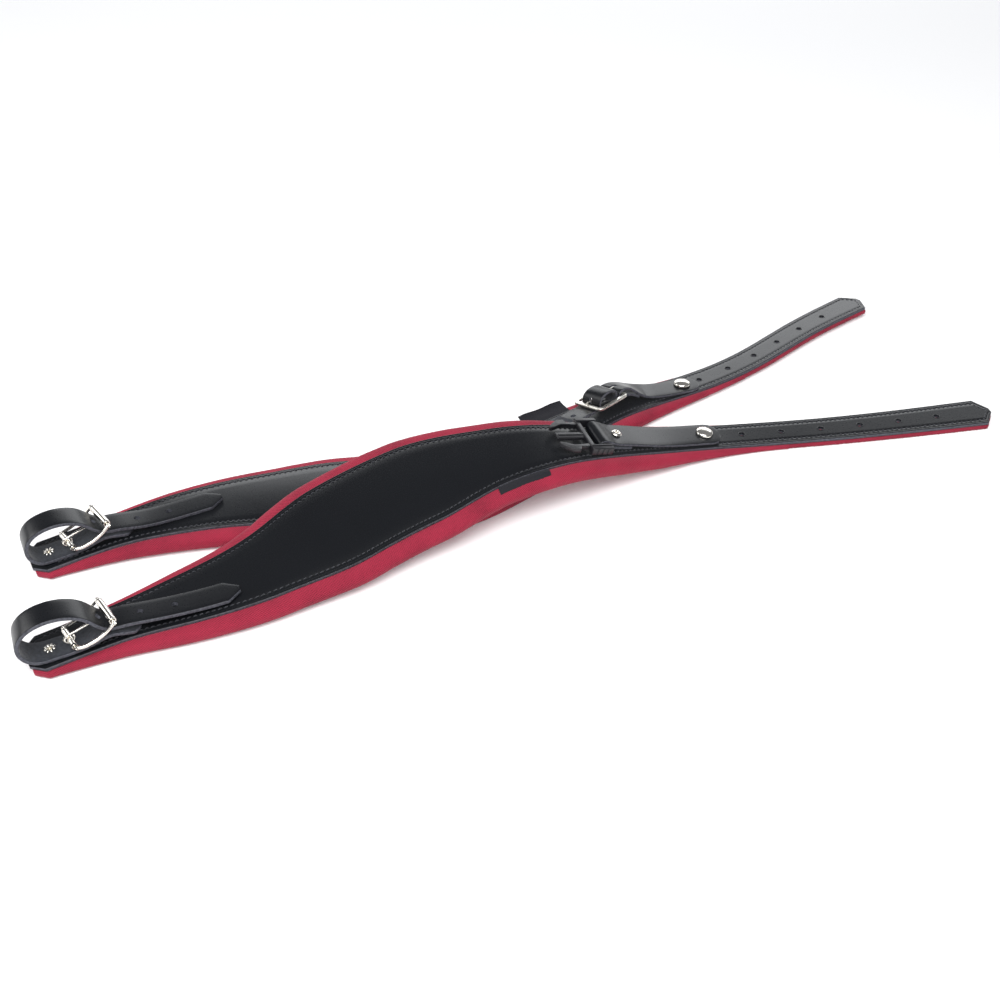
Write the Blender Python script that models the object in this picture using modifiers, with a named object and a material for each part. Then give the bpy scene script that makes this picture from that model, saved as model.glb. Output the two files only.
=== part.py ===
"""A pair of contoured leather shoulder straps with padded undersides.

Each strap has an adjusting belt that is bent into a loop and held by a roller buckle, a tail with
holes, and half of the back strap that joins the pair: a tab with the plug of a side-release clip
on the near strap, and a tab with a frame buckle, a short belt and the clip's socket on the far one.
Every strap piece is laid out along its strap's route: s runs along it, t across it (positive to
the right-hand edge) and n away from it, upwards from the underside of the leather. Metres, +Z up.
"""

import math

import bmesh
import bpy
import numpy as np
from mathutils import Matrix, Vector

# Centreline of each strap's leather underside: x, y, z and roll in degrees (right-hand edge down).
ROUTES = {
    "near": (
        (-0.3055, -0.2089, 0.0045, 0), (-0.2435, -0.1764, 0.0098, 2), (-0.1815, -0.1439, 0.0158, 7),
        (-0.1260, -0.1009, 0.0238, 10), (-0.0670, -0.0644, 0.0318, 10), (-0.0020, -0.0399, 0.0360, 9),
        (0.0625, -0.0114, 0.0195, 6), (0.1285, 0.0136, 0.0060, 3), (0.1975, 0.0251, 0.0038, 2),
        (0.2645, 0.0361, 0.0038, 2), (0.3355, 0.0501, 0.0038, 2),
    ),
    "far": (
        (-0.3290, -0.1224, 0.0045, 0), (-0.2660, -0.0904, 0.0095, -1), (-0.2015, -0.0689, 0.0114, 0),
        (-0.1315, -0.0584, 0.0114, 0), (-0.0630, -0.0419, 0.0114, 0), (-0.0035, -0.0044, 0.0114, 0),
        (0.0485, 0.0401, 0.0108, 0), (0.1070, 0.0791, 0.0058, -3), (0.1645, 0.1196, 0.0048, -5),
        (0.2145, 0.1666, 0.0049, -6), (0.2745, 0.2161, 0.0049, -6),
    ),
}

LEATHER = 0.0024  # thickness of the strap leather
UNDERSIDE = 0.0002  # clearance between the leather and what lies under it
TOP = UNDERSIDE + LEATHER
GAP = 0.0003
COVER_CLOTH = 0.0010
HEM = 0.006  # how far the cover is turned in under the leather
CUT_END = 0.008  # length of the clipped corners at each end
BELT_LEATHER = 0.0025
BELT_HALF = 0.0088
TAB_LEATHER = 0.0020
TAB_HALF = 0.0110
HOLE_RADIUS = 0.0020
TAIL_PITCH = 0.0300
BELT_PITCH = 0.0205

# Along the strap: half width of the leather, thickness of the pad, and how far it stands out.
HALF_WIDTH = ((0, 0.0155), (0.05, 0.0160), (0.10, 0.0215), (0.15, 0.0268), (0.205, 0.0345),
              (0.26, 0.0348), (0.32, 0.0255), (0.38, 0.0178), (0.43, 0.0140), (0.48, 0.0128),
              (0.56, 0.0126), (0.63, 0.0131), (0.71, 0.0141))
PAD_DEPTH = ((0, 0.0040), (0.04, 0.0070), (0.09, 0.0100), (0.15, 0.0110), (0.40, 0.0110),
             (0.44, 0.0090), (0.475, 0.0060), (0.51, 0.0038), (0.545, 0.0031), (0.71, 0.0031))
PAD_REACH = ((0, 0.0015), (0.03, 0.0035), (0.07, 0.0070), (0.14, 0.0090), (0.20, 0.0100),
             (0.33, 0.0100), (0.43, 0.0080), (0.49, 0.0040), (0.545, 0.0012), (0.71, 0.0008))
PAD_END = 0.545
CORE_END = 0.490

TAIL_HOLES = {"near": 0.5130, "far": 0.5100}  # first of six, at TAIL_PITCH
SNAP_AT = {"near": 0.4825, "far": 0.490}
TAB_END = {"near": 0.4945, "far": 0.503}
TAB_RIVET_AT = 0.407
BAR_HALF = 0.0013
CLIP_BAR = (0.392, 0.0074)  # s, n of the bar that the near tab is folded over
CLIP_ARM_ROOT = -0.0125
CLIP_ARM_SPREAD = 0.0114
FAR_SNAP_SHIFT = 0.003
FAR_TAB_SWING = 8.0
FRAME_LENGTH = 0.0270  # between the axes of the frame's bars
FRAME_BAR = 0.0032
FRAME_FRONT_AT = 0.404
FRAME_FRONT_N = 0.0070
FRAME_SHIFT = -0.0036
FRAME_SLOPE = 0.05
FAR_BELT_BEND = 2.0
FRAME_BACK_N = 0.0084
FRAME_LEAN = 13.0  # degrees that the frame is tipped up on its right-hand side
FOLD_RADIUS = 0.0033
PRONG_REST = 0.0022
SOCKET_BAR = (0.3576, 0.0075)

# The adjusting belt lies in an upright plane through its rivet: rivet point and bearing in degrees.
BELT_PLANE = {"near": (-0.2912, -0.2059, 23.3), "far": (-0.3160, -0.1188, 26.6)}
# Its centreline from the clipped end, round the loop to the pointed end: run from the rivet, height
# above the strap's leather.
LOWER_LAYER = ((0.0520, 0.0019), (0.0430, 0.0036), (0.0345, 0.0056), (0.0240, 0.0036),
               (0.0120, 0.0019), (0.0000, 0.0017))
BELT_RUN = {
    "near": LOWER_LAYER + (
        (-0.0080, 0.0021), (-0.0150, 0.0070), (-0.0175, 0.0155), (-0.0130, 0.0245),
        (-0.0020, 0.0297), (0.0110, 0.0290), (0.0230, 0.0220), (0.0322, 0.0118), (0.0430, 0.0097),
        (0.0530, 0.0082), (0.0640, 0.0063), (0.0760, 0.0046), (0.0920, 0.0030), (0.1130, 0.0021),
    ),
    "far": LOWER_LAYER + (
        (-0.0064, 0.0021), (-0.0120, 0.0066), (-0.0139, 0.0142), (-0.0102, 0.0222),
        (-0.0010, 0.0267), (0.0110, 0.0265), (0.0230, 0.0206), (0.0322, 0.0114), (0.0430, 0.0085),
        (0.0530, 0.0060), (0.0640, 0.0038), (0.0760, 0.0027), (0.0920, 0.0023), (0.1130, 0.0023),
    ),
}
BELT_HOLES = {"near": 0.0530, "far": 0.0567}  # first of two, at BELT_PITCH
ROLLER_RADIUS = 0.0023
HEEL_RADIUS = 0.0018
WIRE_RADIUS = 0.0011
ROLLER_AT = (0.0350, 0.0156)  # run and height of the front bar, before the buckle is turned
HEEL_AT = (0.0112, 0.0085)
BUCKLE_TURN = 13.0  # degrees that the buckle sits askew on its belt
BUCKLE_MIDDLE = 0.0235
PRONG_RADIUS = 0.0008

BLACK = (0.012, 0.013, 0.015, 1)
RED = (0.42, 0.022, 0.055, 1)
NICKEL = (0.72, 0.70, 0.66, 1)


def natural_spline(knots, values):
    """A smooth function through (knot, value) pairs; values may have several columns."""
    x = np.asarray(knots, float)
    y = np.asarray(values, float).reshape(len(x), -1)
    step = np.diff(x)
    system = np.eye(len(x))
    right = np.zeros_like(y)
    for i in range(1, len(x) - 1):
        system[i, i - 1 : i + 2] = step[i - 1], 2 * (step[i - 1] + step[i]), step[i]
        right[i] = 6 * ((y[i + 1] - y[i]) / step[i] - (y[i] - y[i - 1]) / step[i - 1])
    bend = np.linalg.solve(system, right)

    def at(u):
        i = int(np.clip(np.searchsorted(x, u) - 1, 0, len(x) - 2))
        a, b = x[i + 1] - u, u - x[i]
        value = (bend[i] * a**3 + bend[i + 1] * b**3) / (6 * step[i])
        value += (y[i] / step[i] - bend[i] * step[i] / 6) * a
        value += (y[i + 1] / step[i] - bend[i + 1] * step[i] / 6) * b
        return value

    return at


def profile(table):
    """A function of s that joins the table's values without overshoot."""
    knots, values = zip(*table)

    def at(s):
        i = int(np.clip(np.searchsorted(knots, s) - 1, 0, len(knots) - 2))
        u = np.clip((s - knots[i]) / (knots[i + 1] - knots[i]), 0, 1)
        slopes = [slope_at(knots, values, k) * (knots[i + 1] - knots[i]) for k in (i, i + 1)]
        return float(
            values[i] * (2 * u**3 - 3 * u**2 + 1) + slopes[0] * (u**3 - 2 * u**2 + u)
            + values[i + 1] * (3 * u**2 - 2 * u**3) + slopes[1] * (u**3 - u**2)
        )

    return at


def slope_at(knots, values, k):
    """Slope of the table at knot k: zero at a turn or an end, else the harmonic mean."""
    if k in (0, len(knots) - 1):
        return 0.0
    before = (values[k] - values[k - 1]) / (knots[k] - knots[k - 1])
    after = (values[k + 1] - values[k]) / (knots[k + 1] - knots[k])
    return 0.0 if before * after <= 0 else 2 * before * after / (before + after)


half_width = profile(HALF_WIDTH)
pad_depth = profile(PAD_DEPTH)
pad_reach = profile(PAD_REACH)


class Route:
    """The curved sheet that a strap lies in."""

    def __init__(self, points):
        points = np.array(points, float)
        chord = np.r_[0, np.cumsum(np.linalg.norm(np.diff(points[:, :3], axis=0), axis=1))]
        self.curve = natural_spline(chord, points)
        self.u = np.linspace(0, chord[-1], 801)
        places = np.array([self.curve(u)[:3] for u in self.u])
        self.s = np.r_[0, np.cumsum(np.linalg.norm(np.diff(places, axis=0), axis=1))]
        self.length = float(self.s[-1])

    def axes(self, s):
        """Origin, along, across (to the right) and outward directions at s."""
        u = np.interp(s, self.s, self.u)
        here = self.curve(u)
        along = self.curve(min(u + 1e-4, self.u[-1]))[:3] - self.curve(max(u - 1e-4, 0))[:3]
        along /= np.linalg.norm(along)
        right = np.cross(along, (0, 0, 1))
        right /= np.linalg.norm(right)
        out = np.cross(right, along)
        roll = math.radians(here[3])
        across = right * math.cos(roll) - out * math.sin(roll)
        return here[:3], along, across, out * math.cos(roll) + right * math.sin(roll)

    def point(self, s, t, n):
        extra = s - min(max(s, 0.0), self.length)
        origin, along, across, out = self.axes(s - extra)
        return Vector(origin + along * extra + across * t + out * n)

    def matrix(self, s, t=0.0, n=0.0, turn=0.0):
        """Placement with X along, Y to the left and Z outward, turned by an angle about Z."""
        _, along, across, out = self.axes(s)
        spin = Matrix.Rotation(turn, 4, "Z")
        base = Matrix((along, -across, out)).transposed().to_4x4()
        return Matrix.Translation(self.point(s, t, n)) @ base @ spin

    def nearest(self, x, y):
        """The s whose centreline point is nearest to (x, y) in plan."""
        choices = np.linspace(0, self.length, 561)
        gaps = [np.hypot(*(self.axes(s)[0][:2] - (x, y))) for s in choices]
        return float(choices[int(np.argmin(gaps))])

    def top_height(self, x, y):
        """Height of the leather's upper face over (x, y)."""
        origin, _, across, out = self.axes(self.nearest(x, y))
        offset = (np.array((x, y)) - origin[:2]) @ across[:2] / (across[:2] @ across[:2])
        return float((origin + across * offset + out * TOP)[2])


ROUTE = {side: Route(points) for side, points in ROUTES.items()}


def clear_scene():
    for item in list(bpy.data.objects):
        bpy.data.objects.remove(item, do_unlink=True)


def collection(name, hidden=False):
    made = bpy.data.collections.new(name)
    made.hide_render = hidden
    bpy.context.scene.collection.children.link(made)
    return made


def material(name, colour, roughness, metallic=0.0):
    made = bpy.data.materials.new(name)
    made.use_nodes = True
    shader = made.node_tree.nodes["Principled BSDF"]
    shader.inputs["Base Color"].default_value = colour
    shader.inputs["Roughness"].default_value = roughness
    shader.inputs["Metallic"].default_value = metallic
    return made


def add(name, data, colour, place=None):
    made = bpy.data.objects.new(name, data)
    if place is not None:
        made.matrix_world = place
    data.materials.append(colour)
    PARTS.objects.link(made)
    return made


def mesh_from(name, shape):
    bmesh.ops.recalc_face_normals(shape, faces=shape.faces)
    mesh = bpy.data.meshes.new(name)
    shape.to_mesh(mesh)
    shape.free()
    return mesh


def loft(name, rings, colour):
    """A closed solid through rings that all have the same number of points."""
    shape = bmesh.new()
    loops = [[shape.verts.new(point) for point in ring] for ring in rings]
    count = len(rings[0])
    for low, high in zip(loops, loops[1:]):
        for i in range(count):
            j = (i + 1) % count
            shape.faces.new((low[i], low[j], high[j], high[i]))
    shape.faces.new(loops[0][::-1])
    shape.faces.new(loops[-1])
    return add(name, mesh_from(name, shape), colour)


def turned(name, outline, colour, place, steps=14):
    """A solid of revolution about local Z; outline runs from the top down the outer side."""
    mesh = bpy.data.meshes.new(name)
    closed = outline[0][0] > 0 or outline[-1][0] > 0
    edges = [(i, i + 1) for i in range(len(outline) - 1)]
    if closed:
        edges.append((len(outline) - 1, 0))
    mesh.from_pydata([(r, 0, z) for r, z in outline], edges, [])
    made = add(name, mesh, colour, place)
    screw = made.modifiers.new("turn", "SCREW")
    screw.axis = "Z"
    screw.steps = screw.render_steps = steps
    screw.use_merge_vertices = True
    screw.merge_threshold = 1e-5
    screw.use_smooth_shade = True
    return made


def wire(name, points, radius, colour, cyclic=False, place=None, resolution=2):
    curve = bpy.data.curves.new(name, "CURVE")
    curve.dimensions = "3D"
    curve.bevel_depth = radius
    curve.bevel_resolution = resolution
    curve.use_fill_caps = not cyclic
    spline = curve.splines.new("POLY")
    spline.points.add(len(points) - 1)
    for target, point in zip(spline.points, points):
        target.co = (*point, 1)
    spline.use_cyclic_u = cyclic
    return add(name, curve, colour, place)


def plate(name, outlines, thickness, colour, place):
    """A flat piece: the first outline is its edge and the others are its holes."""
    curve = bpy.data.curves.new(name, "CURVE")
    curve.dimensions = "2D"
    curve.fill_mode = "BOTH"
    curve.extrude = thickness / 2
    for outline in outlines:
        spline = curve.splines.new("POLY")
        spline.points.add(len(outline) - 1)
        for target, point in zip(spline.points, outline):
            target.co = (*point, 0, 1)
        spline.use_cyclic_u = True
    return add(name, curve, colour, place)


def cut_holes(target, places, radius, depth=0.012, sides=14):
    """Cuts a round hole through target at each placement."""
    shape = bmesh.new()
    for place in places:
        bmesh.ops.create_cone(
            shape, cap_ends=True, segments=sides, radius1=radius, radius2=radius, depth=depth,
            matrix=place,
        )
    mesh = bpy.data.meshes.new(target.name + "_holes")
    shape.to_mesh(mesh)
    shape.free()
    combine(target, mesh, "DIFFERENCE", Matrix())


def combine(target, mesh, operation, place):
    """Joins a helper mesh to the target or cuts it away, with a Boolean."""
    helper = bpy.data.objects.new(mesh.name, mesh)
    helper.matrix_world = place
    helper.hide_render = True
    helper.display_type = "WIRE"
    CUTTERS.objects.link(helper)
    boolean = target.modifiers.new(mesh.name, "BOOLEAN")
    boolean.operation = operation
    boolean.object = helper


def stations(start, end, pitch):
    return np.linspace(start, end, max(2, round((end - start) / pitch) + 1))


def leather_half(side, s):
    """Half width of the leather body, with the corners of both ends clipped."""
    left = ROUTE[side].length - s
    toe = 0.52 + 0.48 * min(1.0, s / CUT_END)
    tail = 0.18 + 0.82 * min(1.0, left / CUT_END)
    return half_width(s) * min(toe, tail)


def leather_body(side):
    route = ROUTE[side]
    along = [0, *stations(CUT_END, route.length - CUT_END, 0.0145), route.length]
    rings = []
    for s in along:
        w = leather_half(side, s)
        edge = [(-w, UNDERSIDE), (0, UNDERSIDE), (w, UNDERSIDE), (w, TOP), (0, TOP), (-w, TOP)]
        rings.append([route.point(s, t, n) for t, n in edge])
    body = loft(f"{side}_leather_body", rings, LEATHER_BLACK)
    holes = [route.matrix(TAIL_HOLES[side] + i * TAIL_PITCH) for i in range(6)]
    holes += [route.matrix(SNAP_AT[side], snap_offset(side)), rivet_place(side)]
    cut_holes(body, holes, HOLE_RADIUS)


def snap_offset(side):
    return 0.0 if side == "near" else FAR_SNAP_SHIFT


def cover_outline(side, s, inset=0.0):
    """The pad's section from the left hem round the underside to the right hem."""
    w = leather_half(side, s)
    reach = pad_reach(s)
    high = -0.00015 - inset
    low = inset - pad_depth(s)
    bulge = w + reach - inset
    right = [
        (w - HEM, high), (w - inset, high), (w + 0.6 * reach - inset, 0.90 * high + 0.10 * low),
        (bulge, 0.55 * high + 0.45 * low), (bulge - 0.15 * reach, 0.20 * high + 0.80 * low),
        (w + 0.4 * reach - inset, low),
    ]
    left = [(-t, n) for t, n in right]
    return left + [(0, low)] + right[::-1]


def pad_stations():
    return [0.001, *stations(CUT_END, PAD_END, 0.0165)]


def pad_cover(side):
    route = ROUTE[side]
    rings = []
    for s in pad_stations():
        outer = cover_outline(side, s)
        inner = cover_outline(side, s, COVER_CLOTH)
        rings.append([route.point(s, t, n) for t, n in outer + inner[::-1]])
    loft(f"{side}_pad_cover", rings, RED_CLOTH)


def foam_core(side):
    route = ROUTE[side]
    rings = []
    for s in [s for s in pad_stations()[1:] if s < CORE_END]:
        outline = cover_outline(side, s, COVER_CLOTH + 2 * GAP)
        rings.append([route.point(s, t, n) for t, n in outline])
    loft(f"{side}_foam_core", rings, FOAM)


def tail_lining(side):
    route = ROUTE[side]
    start = PAD_END + GAP
    rings = []
    for s in [*stations(start, route.length - CUT_END, 0.016), route.length]:
        w = leather_half(side, s) + 0.0008
        low = -pad_depth(s) + 0.0001
        edge = [(-w, low), (0, low), (w, low), (w, -0.0001), (0, -0.0001), (-w, -0.0001)]
        rings.append([route.point(s, t, n) for t, n in edge])
    lining = loft(f"{side}_tail_lining", rings, RED_CLOTH)
    places = [route.matrix(TAIL_HOLES[side] + i * TAIL_PITCH) for i in range(6)]
    cut_holes(lining, [place for i, place in enumerate(places) if i > 1], HOLE_RADIUS)


def belt_place(side, run, across, height):
    """World point in the upright plane of the adjusting belt."""
    x, y, bearing = BELT_PLANE[side]
    heading = math.radians(bearing)
    px = x + run * math.cos(heading)
    py = y + run * math.sin(heading)
    ground = belt_ground(side)(run)[0]
    return Vector((
        px + across * math.sin(heading), py - across * math.cos(heading), ground + height,
    ))


def belt_ground(side):
    """Height of the leather along the belt's plane, as a function of the run from the rivet."""
    if side not in GROUNDS:
        x, y, bearing = BELT_PLANE[side]
        heading = math.radians(bearing)
        runs = (-0.03, -0.004, 0.02, 0.045, 0.07, 0.095, 0.12)
        heights = [
            ROUTE[side].top_height(x + max(r, 0) * math.cos(heading), y + max(r, 0) * math.sin(heading))
            for r in runs
        ]
        GROUNDS[side] = natural_spline(runs, heights)
    return GROUNDS[side]


GROUNDS = {}


def rivet_place(side):
    route = ROUTE[side]
    x, y, _ = BELT_PLANE[side]
    s = route.nearest(x, y)
    origin, _, across, _ = route.axes(s)
    return route.matrix(s, (np.array((x, y)) - origin[:2]) @ across[:2])


def strip_ring(place, tangent, across, half, thickness):
    """Rectangular section of a strip about a point, square to its tangent."""
    out = across.cross(tangent).normalized()
    lift = out * (thickness / 2)
    wide = across * half
    return [place - wide - lift, place + wide - lift, place + wide + lift, place - wide + lift]


def adjusting_belt(side):
    _, _, bearing = BELT_PLANE[side]
    heading = math.radians(bearing)
    across = Vector((math.sin(heading), -math.cos(heading), 0))
    points = [belt_place(side, run, 0, height) for run, height in BELT_RUN[side]]
    chord = np.r_[0, np.cumsum([(b - a).length for a, b in zip(points, points[1:])])]
    curve = natural_spline(chord, [tuple(point) for point in points])
    total = chord[-1]
    rings = []
    for u in [0, *stations(0.004, total - 0.009, 0.0042), total]:
        ahead, behind = curve(min(u + 1e-4, total)), curve(max(u - 1e-4, 0))
        tangent = Vector(ahead - behind).normalized()
        taper = min(1.0, 0.55 + 0.45 * u / 0.004, 0.25 + 0.75 * (total - u) / 0.009)
        rings.append(strip_ring(Vector(curve(u)), tangent, across, BELT_HALF * taper, BELT_LEATHER))
    belt = loft(f"{side}_adjusting_belt", rings, LEATHER_BLACK)
    places = [rivet_place(side)]
    for run in (BELT_HOLES[side], BELT_HOLES[side] + BELT_PITCH, 0.0285):
        places.append(belt_hole_place(side, curve, total, run))
    cut_holes(belt, places[:1], HOLE_RADIUS, depth=0.020)
    cut_holes(belt, places[1:], HOLE_RADIUS, depth=0.006)


def belt_hole_place(side, curve, total, run):
    """Placement square to the upper run of the belt at a distance from the rivet."""
    target = belt_place(side, run, 0, 0)
    choices = np.linspace(0.45 * total, total, 400)
    gaps = [math.dist(curve(u)[:2], target[:2]) for u in choices]
    u = choices[int(np.argmin(gaps))]
    tangent = Vector(curve(u + 1e-4) - curve(u - 1e-4)).normalized()
    across = tangent.cross(Vector((0, 0, 1))).normalized()
    out = across.cross(tangent)
    base = Matrix((tangent, out.cross(tangent), out)).transposed().to_4x4()
    return Matrix.Translation(Vector(curve(u))) @ base


def belt_rivet(side):
    """A hollow rivet: flange on the belt, tube through belt and body, flange under the leather."""
    flange, bore, tube = 0.0036, 0.0009, 0.0016
    top = TOP + 2 * GAP + BELT_LEATHER + 0.0004
    outline = [
        (bore, top + 0.0007), (flange - 0.0004, top + 0.0007), (flange, top), (tube, top),
        (tube, -0.0001), (0.0030, -0.0001), (0.0030, -0.0008), (bore, -0.0008),
    ]
    turned(f"{side}_belt_rivet", outline, NICKEL_PLATE, rivet_place(side))


def buckle_point(side, run, across, height):
    """World point of the buckle, which is turned a little on the belt."""
    turn, ahead = math.radians(BUCKLE_TURN), run - BUCKLE_MIDDLE
    return belt_place(
        side, BUCKLE_MIDDLE + ahead * math.cos(turn) + across * math.sin(turn),
        across * math.cos(turn) - ahead * math.sin(turn), height,
    )


def axle(side, where):
    """Placement with Z along a buckle bar."""
    heading = math.radians(BELT_PLANE[side][2] + BUCKLE_TURN)
    spin = Matrix.Rotation(heading, 4, "Z") @ Matrix.Rotation(math.pi / 2, 4, "X")
    centre = (buckle_point(side, where[0], 0.01, where[1]) + buckle_point(side, where[0], -0.01, where[1])) / 2
    return Matrix.Translation(centre) @ spin


def roller_buckle(side):
    """Bent wire frame with a tube on each bar, and a prong hooked over the heel tube."""
    run = belt_wire_points(side)
    wire(f"{side}_buckle_frame", run, WIRE_RADIUS, NICKEL_PLATE, cyclic=True)
    bore = WIRE_RADIUS + GAP
    for name, where, radius, half in (
        ("front_roller", ROLLER_AT, ROLLER_RADIUS, 0.0105),
        ("heel_roller", HEEL_AT, HEEL_RADIUS, 0.0085),
    ):
        outline = [(bore, half), (radius, half), (radius, -half), (bore, -half)]
        turned(f"{side}_{name}", outline, NICKEL_PLATE, axle(side, where), steps=16)
    prong(side)


def belt_wire_points(side):
    """The frame's centreline: heel bar, near side, front bar and far side."""
    side_wire = [(0.0118, 0.0085), (0.0150, 0.0083), (0.0190, 0.0085), (0.0240, 0.0095),
                 (0.0290, 0.0116), (0.0330, 0.0142), (0.0347, 0.0154)]
    spread = [0.0103, 0.0115, 0.0120, 0.0124, 0.0127, 0.0128, 0.0124]
    near = [buckle_point(side, a, b, h) for (a, h), b in zip(side_wire, spread)]
    far = [buckle_point(side, a, -b, h) for (a, h), b in zip(side_wire, spread)]
    heel = axle(side, HEEL_AT)
    heel = [heel @ Vector((0, 0, b)) for b in (-0.0094, 0.0094)]
    front = axle(side, ROLLER_AT)
    front = [front @ Vector((0, 0, b)) for b in (0.0115, -0.0115)]
    return [heel[0], heel[1], *near, front[0], front[1], *far[::-1]]


def prong(side):
    """Hook round the heel tube, then a tongue that reaches up into the belt's hole."""
    ring = HEEL_RADIUS + GAP + PRONG_RADIUS
    reach, slope = 0.0155, math.radians(9)
    start, sweep = slope + math.radians(90), math.radians(285)
    turn = [start + sweep * (1 - i / 12) for i in range(13)]
    points = [(ring * math.cos(a), ring * math.sin(a)) for a in turn]
    tip = Vector((math.cos(slope), math.sin(slope)))
    rise = Vector((-math.sin(slope), math.cos(slope))) * ring
    points += [tuple(rise + tip * reach * k) for k in (0.35, 0.7, 1.0)]
    place = axle(side, HEEL_AT)
    wire(f"{side}_buckle_prong", [(x, y, 0) for x, y in points], PRONG_RADIUS, NICKEL_PLATE, place=place)


def label(side):
    """Blank woven label caught in the seam: it hangs over the near edge or stands at the far one."""
    route = ROUTE[side]
    start = 0.310 if side == "near" else 0.361
    rings = []
    for s in stations(start, start + 0.038, 0.0095):
        w, reach = half_width(s), pad_reach(s)
        if side == "near":
            run = [(w + 0.0006, 0.0011), (w + 0.35 * reach, 0.0010), (w + 0.58 * reach, 0.0002),
                   (w + 0.80 * reach, -0.0018)]
        else:
            run = [(-w - 0.0006, 0.0011), (-w - 0.0045, 0.0018), (-w - 0.0085, 0.0030),
                   (-w - 0.0115, 0.0046)]
        lower = [(t, n - 0.0004) for t, n in run]
        upper = [(t + math.copysign(0.0003, t), n + 0.0004) for t, n in run]
        rings.append([route.point(s, t, n) for t, n in lower + upper[::-1]])
    loft(f"{side}_label", rings, LABEL_CLOTH)


def snap(side):
    """Domed cap on the tab and the stud that it closes on, through the strap's leather."""
    place = ROUTE[side].matrix(SNAP_AT[side], snap_offset(side))
    seat = TOP + 0.0009 + TAB_LEATHER + 0.0006
    dome = [(0.0061 * math.cos(a), seat + 0.0006 + 0.0024 * math.sin(a)) for a in
            [math.radians(90 - 15 * i) for i in range(7)]]
    dome[0] = (0.0, seat + 0.0030)
    post = 0.0015
    outline = [*dome, (0.0061, seat), (post, seat), (post, TOP - 0.0008), (0.0, TOP - 0.0008)]
    turned(f"{side}_snap_cap", outline, NICKEL_PLATE, place)
    stud = [(0.0, TOP - 0.0012), (0.0016, TOP - 0.0012), (0.0016, -0.0001), (0.0032, -0.0001),
            (0.0032, -0.0009), (0.0, -0.0009)]
    turned(f"{side}_snap_stud", stud, NICKEL_PLATE, place)


def near_course(s):
    """Sideways place and angle of the near back strap's centreline at s."""
    return 0.0, 0.0


def far_tab_course(s):
    """The far tab is swung about its snap, and bends back in line with the frame at its fold."""
    bar_at, bar_shift, bar_slope, _ = back_bar()
    start, straight = bar_at + 0.004, SNAP_AT["far"] - 0.015
    slopes = bar_slope, math.tan(math.radians(FAR_TAB_SWING))
    ends = bar_shift + 0.004 * bar_slope, FAR_SNAP_SHIFT - 0.015 * slopes[1]
    if s < start:
        return ends[0] + slopes[0] * (s - start), math.atan(slopes[0])
    if s > straight:
        return ends[1] + slopes[1] * (s - straight), math.atan(slopes[1])
    length = straight - start
    u = (s - start) / length
    shift = ends[0] * (2 * u**3 - 3 * u**2 + 1) + ends[1] * (3 * u**2 - 2 * u**3)
    shift += length * (slopes[0] * (u**3 - 2 * u**2 + u) + slopes[1] * (u**3 - u**2))
    slope = 6 * (ends[1] - ends[0]) / length * (u - u**2)
    slope += slopes[0] * (3 * u**2 - 4 * u + 1) + slopes[1] * (3 * u**2 - 2 * u)
    return shift, math.atan(slope)


def far_belt_course(s):
    """The far belt leaves the frame at an angle and curves towards the near strap."""
    run = FRAME_FRONT_AT - s
    bend = FAR_BELT_BEND if run > 0 else 0.0
    slope = FRAME_SLOPE + 2 * bend * run
    return FRAME_SHIFT + FRAME_SLOPE * run + bend * run * run, -math.atan(slope)


def lean(side, s):
    """Angle by which the frame and the leather next to it are tipped, and how far it lifts them."""
    if side == "near":
        return 0.0, 0.0
    share = 1.0
    for way in ((s - 0.368) / 0.020, (0.460 - s) / 0.022):
        u = min(max(way, 0.0), 1.0)
        share *= u * u * (3 - 2 * u)
    angle = math.radians(FRAME_LEAN) * share
    return angle, 0.0125 * math.sin(angle)


def strip_on_strap(name, side, course, run, half, pitch=0.0022, end=None):
    """A strip of tab leather whose centreline is given as (s, n) points over the strap's face."""
    route = ROUTE[side]
    places = [route.point(s, course(s)[0], n + lean(side, s)[1]) for s, n in run]
    chord = np.r_[0, np.cumsum([(b - a).length for a, b in zip(places, places[1:])])]
    curve = natural_spline(chord, [(*place, s) for place, (s, _) in zip(places, run)])
    total = chord[-1]
    rings = []
    for u in [0, *stations(0.002, total - 0.002, pitch), total]:
        ahead, behind = curve(min(u + 1e-4, total)), curve(max(u - 1e-4, 0))
        tangent = Vector(ahead[:3] - behind[:3]).normalized()
        *place, s = curve(u)
        _, along, right, out = route.axes(s)
        angle, tip = course(s)[1], lean(side, s)[0]
        across = Vector(right * math.cos(angle) - along * math.sin(angle))
        across = across * math.cos(tip) + Vector(out) * math.sin(tip)
        across = (across - tangent * across.dot(tangent)).normalized()
        width = half * (end(u, total) if end else 1.0)
        rings.append(strip_ring(Vector(place), tangent, across, width, TAB_LEATHER))
    return loft(name, rings, LEATHER_BLACK)


def rounded_end(u, total):
    """Half-round at the far end of a strip."""
    left = min(1.0, (total - u) / TAB_HALF)
    return max(0.35, math.sqrt(max(0.0, 1 - (1 - left) ** 2)))


def arc(centre, radius, start, end, count):
    """Points of an arc about a centre in the s, n plane, angles in degrees."""
    angles = [math.radians(start + (end - start) * i / (count - 1)) for i in range(count)]
    return [(centre[0] + radius * math.cos(a), centre[1] + radius * math.sin(a)) for a in angles]


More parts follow.
